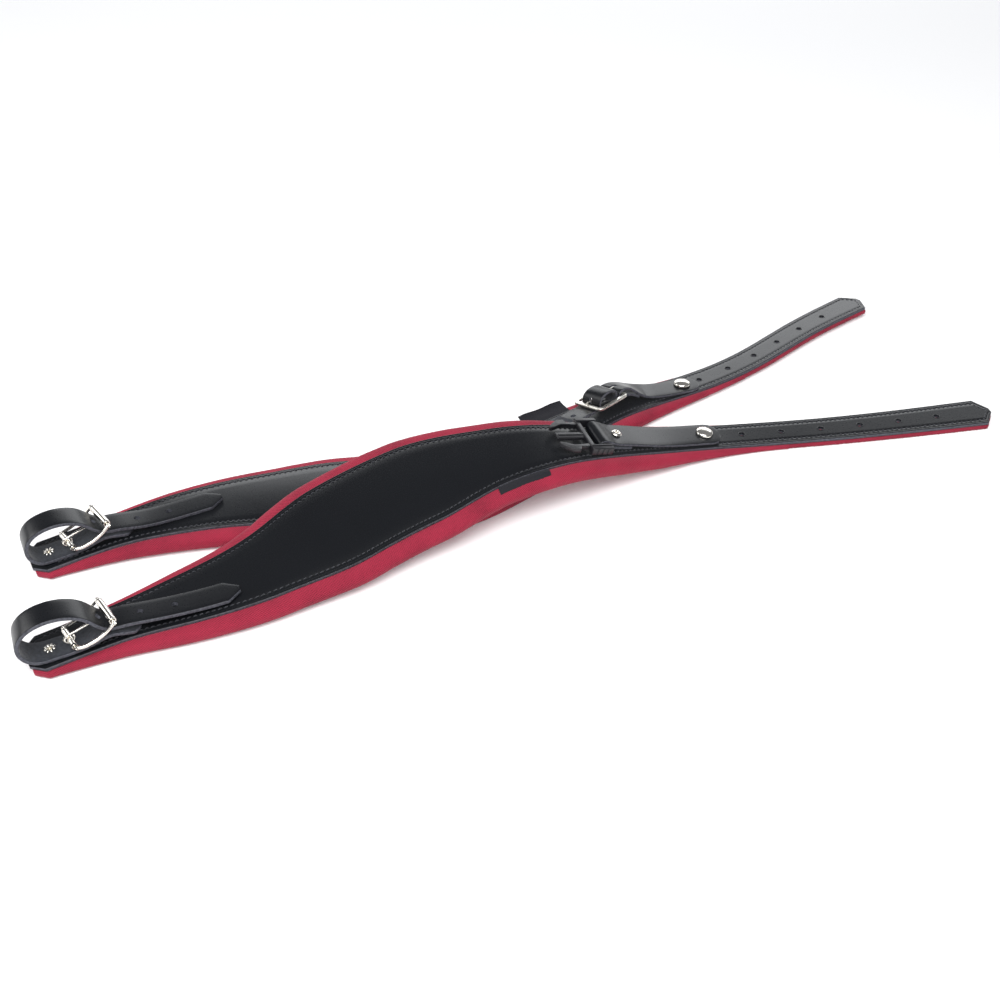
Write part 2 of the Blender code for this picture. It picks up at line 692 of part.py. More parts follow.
def near_tab():
    """Leather tab: its lower layer, the fold round the clip's bar, and the layer with the snap."""
    low = TOP + 0.0009 + TAB_LEATHER / 2
    run = [(0.416, low), (0.410, low), (0.402, low + 0.0002)]
    run += arc(CLIP_BAR, BAR_HALF + GAP + TAB_LEATHER / 2 + 0.0006, 285, 75, 7)
    run += [(0.402, low + 0.0036), (0.410, low + 0.0027), (0.420, low + 0.0022)]
    run += [(0.432, low + 0.0012), (0.446, low + 0.0003), (0.460, low), (0.476, low)]
    run += [(SNAP_AT["near"], low), (TAB_END["near"], low)]
    tab = strip_on_strap("near_back_tab", "near", near_course, run, TAB_HALF, end=rounded_end)
    route = ROUTE["near"]
    cut_holes(tab, [route.matrix(SNAP_AT["near"])], HOLE_RADIUS, depth=0.02)
    cut_holes(tab, [route.matrix(TAB_RIVET_AT)], HOLE_RADIUS, depth=0.03)
    high = low + 0.0036 + TAB_LEATHER / 2 + GAP
    foot = low - TAB_LEATHER / 2 - GAP
    outline = [
        (0.0008, high + 0.0009), (0.0022, high + 0.0012), (0.0036, high), (0.0016, high),
        (0.0016, foot), (0.0028, foot), (0.0028, foot - 0.0005), (0.0008, foot - 0.0005),
    ]
    turned("near_tab_rivet", outline, NICKEL_PLATE, route.matrix(TAB_RIVET_AT))


def box(name, low, high):
    """Box mesh between two corners."""
    shape = bmesh.new()
    bmesh.ops.create_cube(shape, size=1.0)
    low, high = Vector(low), Vector(high)
    for vertex in shape.verts:
        vertex.co = Vector(l + (h - l) * (c + 0.5) for l, h, c in zip(low, high, vertex.co))
    mesh = bpy.data.meshes.new(name)
    shape.to_mesh(mesh)
    shape.free()
    return mesh


def side_release_plug():
    """Plug of the clip: a ladder that the tab folds over, a guide tongue and two springy arms."""
    place = ROUTE["near"].matrix(CLIP_BAR[0], 0.0, CLIP_BAR[1])
    base = add("near_clip_base", box("base", (-0.012, -0.0168, -0.0033), (0.005, -0.0126, 0.0026)),
               BLACK_PLASTIC, place)
    for name, low, high in (
        ("far_block", (-0.012, 0.0126, -0.0033), (0.005, 0.0168, 0.0026)),
        ("rear_bar", (-BAR_HALF, -0.0135, -BAR_HALF), (BAR_HALF, 0.0135, BAR_HALF)),
        ("front_bar", (-0.012, -0.0135, -0.0018), (-0.0086, 0.0135, 0.0022)),
        ("tongue", (-0.0330, -0.0030, -0.0012), (-0.0110, 0.0030, 0.0012)),
    ):
        combine(base, box(name, low, high), "UNION", place)
    arm = [(0.0, 0.0016), (-0.0071, 0.0016), (-0.0085, 0.0047), (-0.0130, 0.0043),
           (-0.0185, 0.0010), (-0.0221, -0.0026), (-0.0216, -0.0040), (-0.0185, -0.0034),
           (-0.0125, -0.0008), (-0.0065, -0.0008), (0.0, -0.0016)]
    for name, way in (("near_clip_arm_left", 1), ("near_clip_arm_right", -1)):
        root = place @ Matrix.Translation((CLIP_ARM_ROOT, way * CLIP_ARM_SPREAD, 0.0002))
        outline = [(x, way * y) for x, y in arm]
        plate(name, [outline], 0.0034, BLACK_PLASTIC, root)


def back_bar():
    """The frame's back bar on the far route: s, t, slope of the frame there, and n."""
    route, place = ROUTE["far"], frame_place()
    centre = place @ Vector((FRAME_LENGTH, 0, 0))
    s = route.nearest(centre.x, centre.y)
    origin, along, across, out = route.axes(s)
    gap, way = np.array(centre) - origin, np.array(place.col[0][:3])
    s += gap @ along
    return s, gap @ across, (way @ across) / (way @ along), gap @ out - lean("far", s)[1]


def far_tab():
    """Leather tab folded over the frame's back bar, with a slot for the prong."""
    bar_at, _, _, bar_n = back_bar()
    low = bar_n - FOLD_RADIUS
    run = [(0.449, low - 0.0010), (0.443, low - 0.0005), (0.4365, low)]
    run += arc((bar_at, bar_n), FOLD_RADIUS, 280, 80, 7)
    run += [(0.4385, 0.0105), (0.4470, 0.0074), (0.4580, 0.0053), (0.4700, 0.0045)]
    run += [(SNAP_AT["far"], TOP + 0.0016), (TAB_END["far"], TOP + 0.0017)]
    tab = strip_on_strap("far_back_tab", "far", far_tab_course, run, 0.0098, end=rounded_end)
    place = ROUTE["far"].matrix(SNAP_AT["far"], FAR_SNAP_SHIFT)
    cut_holes(tab, [place], HOLE_RADIUS, depth=0.02)
    slot = box("prong_slot", (-0.0060, -0.0015, -0.0048), (0.0035, 0.0015, 0.0060))
    combine(tab, slot, "DIFFERENCE", frame_place() @ Matrix.Translation((FRAME_LENGTH, 0, 0)))


def frame_place():
    """Placement of the back strap's frame: X from its front bar to its back bar."""
    route = ROUTE["far"]
    shift, angle = far_belt_course(FRAME_FRONT_AT)
    tilt = math.asin((FRAME_BACK_N - FRAME_FRONT_N) / FRAME_LENGTH)
    tip, lift = lean("far", FRAME_FRONT_AT)
    place = route.matrix(FRAME_FRONT_AT, shift, FRAME_FRONT_N + lift, -angle)
    return place @ Matrix.Rotation(-tilt, 4, "Y") @ Matrix.Rotation(-tip, 4, "X")


def rounded_rectangle(x0, x1, half, radius, count=4):
    points = []
    for cx, cy, start in ((x1 - radius, half - radius, 0), (x0 + radius, half - radius, 90),
                          (x0 + radius, radius - half, 180), (x1 - radius, radius - half, 270)):
        for i in range(count):
            a = math.radians(start + 90 * i / (count - 1))
            points.append((cx + radius * math.cos(a), cy + radius * math.sin(a)))
    return points


def frame_buckle():
    """Flat rounded frame with a prong that turns on its back bar."""
    half = FRAME_BAR / 2
    outline = rounded_rectangle(-half, FRAME_LENGTH + half, 0.0146, 0.0040)
    window = rounded_rectangle(half, FRAME_LENGTH - half, 0.0114, 0.0015)
    plate("far_back_buckle_frame", [outline, window], 0.0020, NICKEL_PLATE, frame_place())
    ring = math.hypot(half, 0.0010) + GAP + PRONG_RADIUS
    drop = math.radians(10)
    start = math.radians(90) - drop
    turn = [start - math.radians(290) * (1 - i / 12) for i in range(13)]
    points = [(ring * math.cos(a), ring * math.sin(a)) for a in turn]
    tongue = FRAME_LENGTH + 0.0022
    top = points[-1]
    for share in (0.3, 0.65, 0.9, 1.0):
        points.append((top[0] - tongue * share, top[1] + (PRONG_REST - ring) * share))
    place = frame_place() @ Matrix.Translation((FRAME_LENGTH, 0, 0))
    place = place @ Matrix.Rotation(math.pi / 2, 4, "X")
    wire("far_back_buckle_prong", [(x, y, 0) for x, y in points], PRONG_RADIUS, NICKEL_PLATE,
         place=place)


def far_belt():
    """Short belt: folded over the socket's bar, then under the frame's bars with a hump between."""
    low = 0.0043
    run = [(0.3820, 0.0067), (0.3745, 0.0074), (0.3665, 0.0098)]
    run += arc(SOCKET_BAR, 0.0032, 75, 285, 7)
    run += [(0.3665, low), (0.3760, low - 0.0001), (0.3860, low), (0.3970, low)]
    run += arc((FRAME_FRONT_AT + 0.0007, low + 0.0031), 0.0031, 270, 350, 4)
    run += [(0.4082, 0.0105), (0.4105, 0.0140), (0.4155, 0.0158), (0.4205, 0.0143)]
    run += [(0.4227, 0.0110), (0.4231, 0.0085), (0.4233, 0.0060), (0.4234, 0.0046)]
    belt = strip_on_strap("far_back_belt", "far", far_belt_course, run, BELT_HALF, pitch=0.0018)
    route = ROUTE["far"]
    shift, angle = far_belt_course(0.389)
    tip, lift = lean("far", 0.389)
    hole = route.matrix(0.389, shift, low + lift, -angle) @ Matrix.Rotation(-tip, 4, "X")
    cut_holes(belt, [hole], HOLE_RADIUS, depth=0.006)
    slot = box("belt_slot", (-0.0010, -0.0013, 0.0008), (FRAME_LENGTH - 0.0010, 0.0013, 0.0049))
    combine(belt, slot, "DIFFERENCE", frame_place())


def side_release_socket():
    """Socket of the clip: a hollow block, open at its mouth and sides, with a bar for the belt."""
    shift, angle = far_belt_course(SOCKET_BAR[0])
    place = ROUTE["far"].matrix(SOCKET_BAR[0], shift, SOCKET_BAR[1], -angle)
    shell = box("socket", (-0.0440, -0.0165, -0.0042), (-0.0068, 0.0165, 0.0040))
    socket = add("far_clip_socket", shell, BLACK_PLASTIC, place)
    for name, low, high in (
        ("rail_left", (-0.0080, 0.0100, -0.0025), (0.0020, 0.0135, 0.0025)),
        ("rail_right", (-0.0080, -0.0135, -0.0025), (0.0020, -0.0100, 0.0025)),
        ("bar", (-BAR_HALF, -0.0120, -BAR_HALF), (BAR_HALF, 0.0120, BAR_HALF)),
    ):
        combine(socket, box(name, low, high), "UNION", place)
    for name, low, high in (
        ("mouth", (-0.0500, -0.0140, -0.0026), (-0.0100, 0.0140, 0.0026)),
        ("windows", (-0.0330, -0.0200, -0.0026), (-0.0200, 0.0200, 0.0026)),
    ):
        combine(socket, box(name, low, high), "DIFFERENCE", place)


def pivot(name, place, nodes):
    """Empty on a joint's axis that carries the pieces which move with it."""
    empty = bpy.data.objects.new(name, None)
    empty.matrix_world = place
    PARTS.objects.link(empty)
    for node in nodes:
        piece = bpy.data.objects[node]
        piece.parent = empty
        piece.matrix_parent_inverse = place.inverted()


def hang_moving_parts():
    """The back straps turn on their snaps, and the whole near strap lifts away."""
    near_strap = ["leather_body", "pad_cover", "foam_core", "tail_lining", "adjusting_belt",
                  "belt_rivet", "buckle_frame", "front_roller", "heel_roller", "buckle_prong",
                  "label", "snap_stud"]
    near_back = ["near_back_tab", "near_snap_cap", "near_tab_rivet", "near_clip_base",
                 "near_clip_arm_left", "near_clip_arm_right"]
    far_back = ["far_back_tab", "far_snap_cap", "far_back_buckle_frame", "far_back_belt",
                "far_clip_socket", "far_back_buckle_prong"]
    for side, nodes in (("near", near_back), ("far", far_back)):
        place = ROUTE[side].matrix(SNAP_AT[side], snap_offset(side), TOP)
        pivot(f"{side}_back_strap_pivot", place, nodes)
    nodes = [f"near_{node}" for node in near_strap] + ["near_back_strap_pivot"]
    pivot("near_strap_origin", Matrix.Translation(belt_place("near", 0, 0, 0)), nodes)


def build():
    for side in ("near", "far"):
        leather_body(side)
        pad_cover(side)
        foam_core(side)
        tail_lining(side)
        adjusting_belt(side)
        belt_rivet(side)
        roller_buckle(side)
        label(side)
        snap(side)
    near_tab()
    side_release_plug()
    far_tab()
    frame_buckle()
    far_belt()
    side_release_socket()
    hang_moving_parts()


clear_scene()
PARTS = collection("padded_shoulder_straps")
CUTTERS = collection("cutters", hidden=True)
LEATHER_BLACK = material("black_leather", BLACK, 0.42)
RED_CLOTH = material("red_cloth", RED, 0.9)
FOAM = material("foam", (0.75, 0.72, 0.62, 1), 0.95)
LABEL_CLOTH = material("woven_label", (0.02, 0.02, 0.022, 1), 0.8)
NICKEL_PLATE = material("nickel", NICKEL, 0.22, 1.0)
BLACK_PLASTIC = material("black_plastic", (0.015, 0.015, 0.017, 1), 0.35)
build()
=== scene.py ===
"""Looks of a pair of padded leather shoulder straps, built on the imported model's frame.

Lengths are in metres, apart from the tables of routes, profiles and belt runs, which are in
millimetres. Each strap is laid out along its route: s runs along it, t across it (positive to
the right-hand edge) and n away from it, upwards from the leather's underside.
"""

import math

import bmesh
import bpy
import numpy as np
from mathutils import Matrix, Vector, noise


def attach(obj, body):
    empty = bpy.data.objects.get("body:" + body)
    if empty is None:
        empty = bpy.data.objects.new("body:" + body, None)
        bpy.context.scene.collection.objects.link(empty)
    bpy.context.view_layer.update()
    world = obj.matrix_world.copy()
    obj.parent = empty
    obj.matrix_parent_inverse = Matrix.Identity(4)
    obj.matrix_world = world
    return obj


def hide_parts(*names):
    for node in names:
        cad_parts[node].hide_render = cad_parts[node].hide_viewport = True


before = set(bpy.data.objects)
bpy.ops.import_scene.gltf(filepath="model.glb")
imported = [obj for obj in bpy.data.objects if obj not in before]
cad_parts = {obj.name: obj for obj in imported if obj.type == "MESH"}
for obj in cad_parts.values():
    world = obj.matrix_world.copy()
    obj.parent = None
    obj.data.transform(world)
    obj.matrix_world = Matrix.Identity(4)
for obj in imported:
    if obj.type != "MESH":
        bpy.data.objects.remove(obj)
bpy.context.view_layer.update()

# ---------------------------------------------------------------- measures shared with the frame

MM = 0.001
ROUTES = {
    "near": (
        (-305.5, -208.9, 4.5, 0), (-243.5, -176.4, 9.8, 2), (-181.5, -143.9, 15.8, 7),
        (-126, -100.9, 23.8, 10), (-67, -64.4, 31.8, 10), (-2, -39.9, 36, 9),
        (62.5, -11.4, 19.5, 6), (128.5, 13.6, 6, 3), (197.5, 25.1, 3.8, 2),
        (264.5, 36.1, 3.8, 2), (335.5, 50.1, 3.8, 2),
    ),
    "far": (
        (-329, -122.4, 4.5, 0), (-266, -90.4, 9.5, -1), (-201.5, -68.9, 11.4, 0),
        (-131.5, -58.4, 11.4, 0), (-63, -41.9, 11.4, 0), (-3.5, -4.4, 11.4, 0),
        (48.5, 40.1, 10.8, 0), (107, 79.1, 5.8, -3), (164.5, 119.6, 4.8, -5),
        (214.5, 166.6, 4.9, -6), (274.5, 216.1, 4.9, -6),
    ),
}
UNDERSIDE = 0.0002
TOP = 0.0026
GAP = 0.0003
HEM = 0.006
CUT_END = 0.008
PAD_END = 0.545
CORE_END = 0.490
BELT_LEATHER = 0.0025
BELT_HALF = 0.0088
BELT_PITCH = 0.0205
TAB_LEATHER = 0.0020
TAB_HALF = {"near": 0.0110, "far": 0.0098}
HOLE_RADIUS = 0.0020
TAIL_HOLES = {side: [first + 0.0300 * i for i in range(6)]
              for side, first in (("near", 0.5130), ("far", 0.5100))}
SNAP_AT = {"near": 0.4825, "far": 0.490}
SNAP_SHIFT = {"near": 0.0, "far": 0.003}
TAB_END = {"near": 0.4945, "far": 0.503}
TAB_RIVET_AT = 0.407
BAR_HALF = 0.0013
BAR = (-1.3, 1.3)
CLIP_BAR = (0.392, 0.0074)
CLIP_ARM_ROOT = -0.0125
CLIP_ARM_SPREAD = 0.0114
FAR_TAB_SWING = 8.0
FRAME_LENGTH = 0.0270
FRAME_BAR = 0.0032
FRAME_FRONT_AT = 0.404
FRAME_FRONT_N = 0.0070
FRAME_SHIFT = -0.0036
FRAME_SLOPE = 0.05
FAR_BELT_BEND = 2.0
FRAME_BACK_N = 0.0084
FRAME_LEAN = 13.0
LEAN_FROM = (0.368, 0.020)
LEAN_TO = (0.460, 0.022)
LEAN_LIFT = 0.0125
SOCKET_SPAN = (0.310, 0.400)
FOLD_RADIUS = 0.0033
PRONG_REST = 0.0022
SOCKET_BAR = (0.3576, 0.0075)
HALF_WIDTH = ((0, 15.5), (50, 16), (100, 21.5), (150, 26.8), (205, 34.5),
              (260, 34.8), (320, 25.5), (380, 17.8), (430, 14), (480, 12.8),
              (560, 12.6), (630, 13.1), (710, 14.1))
PAD_DEPTH = ((0, 4), (40, 7), (90, 10), (150, 11), (400, 11),
             (440, 9), (475, 6), (510, 3.8), (545, 3.1), (710, 3.1))
PAD_REACH = ((0, 1.5), (30, 3.5), (70, 7), (140, 9), (200, 10),
             (330, 10), (430, 8), (490, 4), (545, 1.2), (710, 0.8))
CROWN = ((0, 0), (60, 0), (110, 0.4), (160, 1.3), (220, 1.9), (280, 1.5),
         (330, 0.6), (370, 0.1), (400, 0), (710, 0))
BELT_PLANE = {"near": (-0.2912, -0.2059, 23.3), "far": (-0.3160, -0.1188, 26.6)}
LOWER_LAYER = ((52, 1.9), (43, 3.6), (34.5, 5.6), (24, 3.6),
               (12, 1.9), (0, 1.7))
BELT_RUN = {
    "near": LOWER_LAYER + (
        (-8, 2.1), (-15, 7), (-17.5, 15.5), (-13, 24.5),
        (-2, 29.7), (11, 29), (23, 22), (32.2, 11.8), (43, 9.7),
        (53, 8.2), (64, 6.3), (76, 4.6), (92, 3), (113, 2.1),
    ),
    "far": LOWER_LAYER + (
        (-6.4, 2.1), (-12, 6.6), (-13.9, 14.2), (-10.2, 22.2),
        (-1, 26.7), (11, 26.5), (23, 20.6), (32.2, 11.4), (43, 8.5),
        (53, 6), (64, 3.8), (76, 2.7), (92, 2.3), (113, 2.3),
    ),
}
BELT_HOLES = {"near": 0.0530, "far": 0.0567}
ROLLER_RADIUS = 0.0023
HEEL_RADIUS = 0.0018
WIRE_RADIUS = 0.0011
ROLLER_AT = (0.0350, 0.0156)
HEEL_AT = (0.0112, 0.0085)
BUCKLE_TURN = 13.0
BUCKLE_MIDDLE = 0.0235
PRONG_RADIUS = 0.0008


# ---------------------------------------------------------------- curves and routes

def natural_spline(knots, values):
    x = np.asarray(knots, float)
    y = np.asarray(values, float).reshape(len(x), -1)
    step = np.diff(x)
    system = np.eye(len(x))
    right = np.zeros_like(y)
    for i in range(1, len(x) - 1):
        system[i, i - 1 : i + 2] = step[i - 1], 2 * (step[i - 1] + step[i]), step[i]
        right[i] = 6 * ((y[i + 1] - y[i]) / step[i] - (y[i] - y[i - 1]) / step[i - 1])
    bend = np.linalg.solve(system, right)

    def at(u):
        i = int(np.clip(np.searchsorted(x, u) - 1, 0, len(x) - 2))
        a, b = x[i + 1] - u, u - x[i]
        value = (bend[i] * a**3 + bend[i + 1] * b**3) / (6 * step[i])
        value += (y[i] / step[i] - bend[i] * step[i] / 6) * a
        value += (y[i + 1] / step[i] - bend[i + 1] * step[i] / 6) * b
        return value

    return at


def run_length(points):
    steps = np.diff(np.asarray(points, float), axis=0)
    return np.r_[0, np.cumsum(np.linalg.norm(steps, axis=1))]


def unit(vectors):
    return vectors / np.linalg.norm(vectors, axis=-1, keepdims=True)


def hermite(values, slopes, length, u):
    value = values[0] * (2 * u**3 - 3 * u**2 + 1) + values[1] * (3 * u**2 - 2 * u**3)
    return value + length * (slopes[0] * (u**3 - 2 * u**2 + u) + slopes[1] * (u**3 - u**2))


def direction(degrees):
    return math.cos(math.radians(degrees)), math.sin(math.radians(degrees))


def placed(origin, *axes):
    return Matrix.Translation(origin) @ Matrix(axes).transposed().to_4x4()


def arc(centre, radius, start, end, count):
    angles = [math.radians(start + (end - start) * i / (count - 1)) for i in range(count)]
    return [(centre[0] + radius * math.cos(a), centre[1] + radius * math.sin(a)) for a in angles]


def profile(table):
    knots, values = (np.array(column) * MM for column in zip(*table))

    def slope(k):
        if k in (0, len(knots) - 1):
            return 0.0
        before = (values[k] - values[k - 1]) / (knots[k] - knots[k - 1])
        after = (values[k + 1] - values[k]) / (knots[k + 1] - knots[k])
        return 0.0 if before * after <= 0 else 2 * before * after / (before + after)

    def at(s):
        i = int(np.clip(np.searchsorted(knots, s) - 1, 0, len(knots) - 2))
        step = knots[i + 1] - knots[i]
        u = min(max((s - knots[i]) / step, 0), 1)
        return float(hermite(values[i:i + 2], (slope(i), slope(i + 1)), step, u))

    return at


half_width = profile(HALF_WIDTH)
pad_depth = profile(PAD_DEPTH)
pad_reach = profile(PAD_REACH)
crown = profile(CROWN)


class Route:
    """The curved sheet that a strap lies in."""

    def __init__(self, points):
        points = np.array(points) * (MM, MM, MM, 1)
        chord = run_length(points[:, :3])
        self.curve = natural_spline(chord, points)
        self.u = np.linspace(0, chord[-1], 801)
        places = np.array([self.curve(u)[:3] for u in self.u])
        self.s = run_length(places)
        self.length = float(self.s[-1])

    def axes(self, s):
        u = np.interp(s, self.s, self.u)
        here = self.curve(u)
        along = unit((self.curve(min(u + 1e-4, self.u[-1])) - self.curve(max(u - 1e-4, 0)))[:3])
        right = unit(np.cross(along, (0, 0, 1)))
        out = np.cross(right, along)
        roll = math.radians(here[3])
        across = right * math.cos(roll) - out * math.sin(roll)
        return here[:3], along, across, out * math.cos(roll) + right * math.sin(roll)

    def ring(self, s, section):
        """World points of a section of (t, n) pairs at s."""
        extra = s - min(max(s, 0.0), self.length)
        origin, along, across, out = self.axes(s - extra)
        section = np.asarray(section)
        return origin + along * extra + section[:, :1] * across + section[:, 1:2] * out

    def point(self, s, t, n):
        return Vector(self.ring(s, [(t, n)])[0])

    def matrix(self, s, t=0.0, n=0.0, turn=0.0):
        _, along, across, out = self.axes(s)
        base = placed(self.point(s, t, n), along, -across, out)
        return base @ Matrix.Rotation(turn, 4, "Z")

    def nearest(self, x, y):
        choices = np.linspace(0, self.length, 561)
        gaps = [np.hypot(*(self.axes(s)[0][:2] - (x, y))) for s in choices]
        return float(choices[int(np.argmin(gaps))])

    def top_height(self, x, y):
        origin, _, across, out = self.axes(self.nearest(x, y))
        offset = (np.array((x, y)) - origin[:2]) @ across[:2] / (across[:2] @ across[:2])
        return float((origin + across * offset + out * TOP)[2])


ROUTE = {side: Route(points) for side, points in ROUTES.items()}


def stations(start, end, pitch):
    return np.linspace(start, end, max(2, round((end - start) / pitch) + 1))


# ---------------------------------------------------------------- materials

class Look:
    """A principled material and a small kit for the nodes that drive it."""

    def __init__(self, name, colour, roughness, metallic=0.0, **sockets):
        self.material = bpy.data.materials.new(name)
        self.material.use_nodes = True
        self.tree = self.material.node_tree
        self.shader = self.tree.nodes["Principled BSDF"]
        sockets.update(Base_Color=(*colour, 1), Roughness=roughness, Metallic=metallic)
        for socket, value in sockets.items():
            self.shader.inputs[socket.replace("_", " ")].default_value = value

    def node(self, kind, values=None, links=None, **settings):
        made = self.tree.nodes.new("ShaderNode" + kind)
        for key, value in settings.items():
            setattr(made, key, value)
        for key, value in (values or {}).items():
            made.inputs[key].default_value = value
        for key, source in (links or {}).items():
            self.tree.links.new(source, made.inputs[key])
        return made

    def drive(self, socket, source):
        self.tree.links.new(source, self.shader.inputs[socket])

    def coordinates(self, kind="Object"):
        return self.node("TexCoord").outputs[kind]

    def noise(self, source, scale, detail=3.0, roughness=0.5):
        values = {"Scale": scale, "Detail": detail, "Roughness": roughness}
        return self.node("TexNoise", values, {"Vector": source}).outputs["Fac"]

    def ramp(self, source, *stops):
        """Blend of two stops, each a position and a colour or grey level."""
        made = self.node("ValToRGB", links={"Fac": source})
        for element, (position, colour) in zip(made.color_ramp.elements, stops):
            element.position = position
            element.color = (*colour, 1) if isinstance(colour, tuple) else (*[colour] * 3, 1)
        return made.outputs["Color"]

    def maths(self, operation, a, b=None):
        made = self.node("Math", operation=operation)
        for slot, value in enumerate((a, b)):
            if isinstance(value, (int, float)):
                made.inputs[slot].default_value = value
            elif value is not None:
                self.tree.links.new(value, made.inputs[slot])
        return made.outputs[0]

    def wave(self, source, period):
        return self.maths("SINE", self.maths("MULTIPLY", source, 2 * math.pi / period))

    def add_share(self, base, share, value):
        return self.maths("ADD", base, self.maths("MULTIPLY", value, share))

    def bump(self, height, strength, distance):
        """Adds a relief on top of those the shader already has."""
        made = self.node("Bump", {"Strength": strength, "Distance": distance}, {"Height": height})
        for earlier in self.shader.inputs["Normal"].links:
            self.tree.links.new(earlier.from_socket, made.inputs["Normal"])
        self.drive("Normal", made.outputs["Normal"])


def tinted(colour, factor):
    return tuple(part * factor for part in colour)


def grain_leather(name, dark, light, roughness):
    """Smooth black leather: fine pebble, faint long wrinkles and a slightly uneven dressing."""
    look = Look(name, dark, roughness, Specular_IOR_Level=0.27, Coat_Weight=0.04,
                Coat_Roughness=0.25)
    place = look.coordinates()
    cells = look.node("TexVoronoi", {"Scale": 1500.0, "Randomness": 0.9}, {"Vector": place},
                      feature="DISTANCE_TO_EDGE").outputs["Distance"]
    fine = look.noise(place, 900.0, 4.0, 0.6)
    mixed = look.node("Mix", links={"Factor": look.noise(place, 18.0, 2.0)}, data_type="RGBA")
    mixed.inputs[6].default_value = (*dark, 1)
    mixed.inputs[7].default_value = (*light, 1)
    look.drive("Base Color", mixed.outputs[2])
    look.drive("Roughness", look.ramp(fine, (0.25, roughness - 0.02), (0.75, roughness + 0.04)))
    look.bump(look.ramp(cells, (0.0, 0.0), (0.22, 1.0)), 0.025, 0.00008)
    look.bump(fine, 0.025, 0.00010)
    look.bump(look.noise(place, 60.0), 0.12, 0.0006)
    return look.material


def fibrous(name, dark, light, roughness, grain, stops, relief, **sockets):
    """Fibres that tint and roughen a cut edge, a nappy back or a thread."""
    look = Look(name, dark, roughness, **sockets)
    fibres = look.noise(look.coordinates(), *grain)
    look.drive("Base Color", look.ramp(fibres, (stops[0], dark), (stops[1], light)))
    look.bump(fibres, *relief)
    return look.material


def twill(name, low, high, pitch, depth):
    """Woven cloth laid out in the mesh's UVs, which are in metres along and across the strap."""
    look = Look(name, high, 0.82, Specular_IOR_Level=0.25, Sheen_Weight=0.12,
                Sheen_Roughness=0.45, Sheen_Tint=(1.0, 0.55, 0.6, 1))
    uv = look.coordinates("UV")
    wobble = look.node("TexNoise", {"Scale": 90.0, "Detail": 2.0}, {"Vector": uv})
    shift = look.node("VectorMath", links={0: wobble.outputs["Color"]}, operation="SCALE")
    shift.inputs["Scale"].default_value = pitch * 0.6
    warped = look.node("VectorMath", links={0: uv, 1: shift.outputs[0]}, operation="ADD")
    ribs = []
    for angle, share in ((32, 1.0), (-58, 1.15)):
        turned_uv = look.node("Mapping", {"Rotation": (0, 0, math.radians(angle))},
                              {"Vector": warped.outputs[0]}, vector_type="TEXTURE")
        split = look.node("SeparateXYZ", links={0: turned_uv.outputs[0]})
        ribs.append(look.wave(split.outputs["X"], pitch * share))
    lift = look.add_share(0.42, 0.17, look.add_share(ribs[0], 0.6, ribs[1]))
    lift = look.add_share(lift, 0.66, look.noise(look.coordinates(), 1400.0, 4.0, 0.7))
    cloud = look.noise(look.coordinates(), 35.0)
    tone = look.add_share(look.maths("MULTIPLY", lift, 0.62), 0.34, cloud)
    look.drive("Base Color", look.ramp(tone, (0.36, low), (0.74, high)))
    look.bump(lift, 0.75, depth)
    return look.material


def plated(name, colour, roughness):
    """Nickel plate: a faint polish haze and hairline scratches."""
    look = Look(name, colour, roughness, 1.0)
    place = look.coordinates()
    haze = look.noise(place, 260.0, 4.0, 0.6)
    look.drive("Roughness", look.ramp(haze, (0.3, roughness * 0.7), (0.75, roughness * 1.7)))
    stretched = look.node("Mapping", {"Scale": (1.0, 14.0, 3.0), "Rotation": (0.3, 0.5, 0.9)},
                          {"Vector": place})
    look.bump(haze, 0.10, 0.0001)
    look.bump(look.noise(stretched.outputs[0], 300.0, 2.0), 0.06, 0.0001)
    return look.material


def moulding(name, colour, roughness):
    """Moulded plastic: even, with a fine spark-eroded texture."""
    look = Look(name, colour, roughness, Specular_IOR_Level=0.5)
    place = look.coordinates()
    sand, cloud = look.noise(place, 2200.0, 3.0, 0.6), look.noise(place, 120.0, 2.0)
    look.drive("Roughness", look.ramp(cloud, (0.3, roughness - 0.06), (0.7, roughness + 0.10)))
    look.drive("Base Color", look.ramp(sand, (0.3, colour), (0.8, tinted(colour, 1.5))))
    look.bump(sand, 0.25, 0.00006)
    return look.material


def woven_label(name, colour):
    """Satin-woven ribbon: close ribs one way and a finer thread the other."""
    look = Look(name, colour, 0.7, Specular_IOR_Level=0.2, Sheen_Weight=0.06, Sheen_Roughness=0.4)
    split = look.node("SeparateXYZ", links={0: look.coordinates("UV")}).outputs
    weave = look.maths("MULTIPLY", look.wave(split["X"], 0.00055), look.wave(split["Y"], 0.00042))
    lift = look.add_share(0.5, 0.5, weave)
    dark, light = tinted(colour, 0.7), tinted(colour, 1.8)
    look.drive("Base Color", look.ramp(lift, (0.1, dark), (0.9, light)))
    look.bump(lift, 0.5, 0.00012)
    return look.material


def open_foam(name, low, high):
    look = Look(name, high, 0.95)
    cells = look.node("TexVoronoi", {"Scale": 900.0}, {"Vector": look.coordinates()})
    look.drive("Base Color", look.ramp(cells.outputs["Distance"], (0.2, low), (0.7, high)))
    look.bump(cells.outputs["Distance"], 0.8, 0.0004)
    return look.material


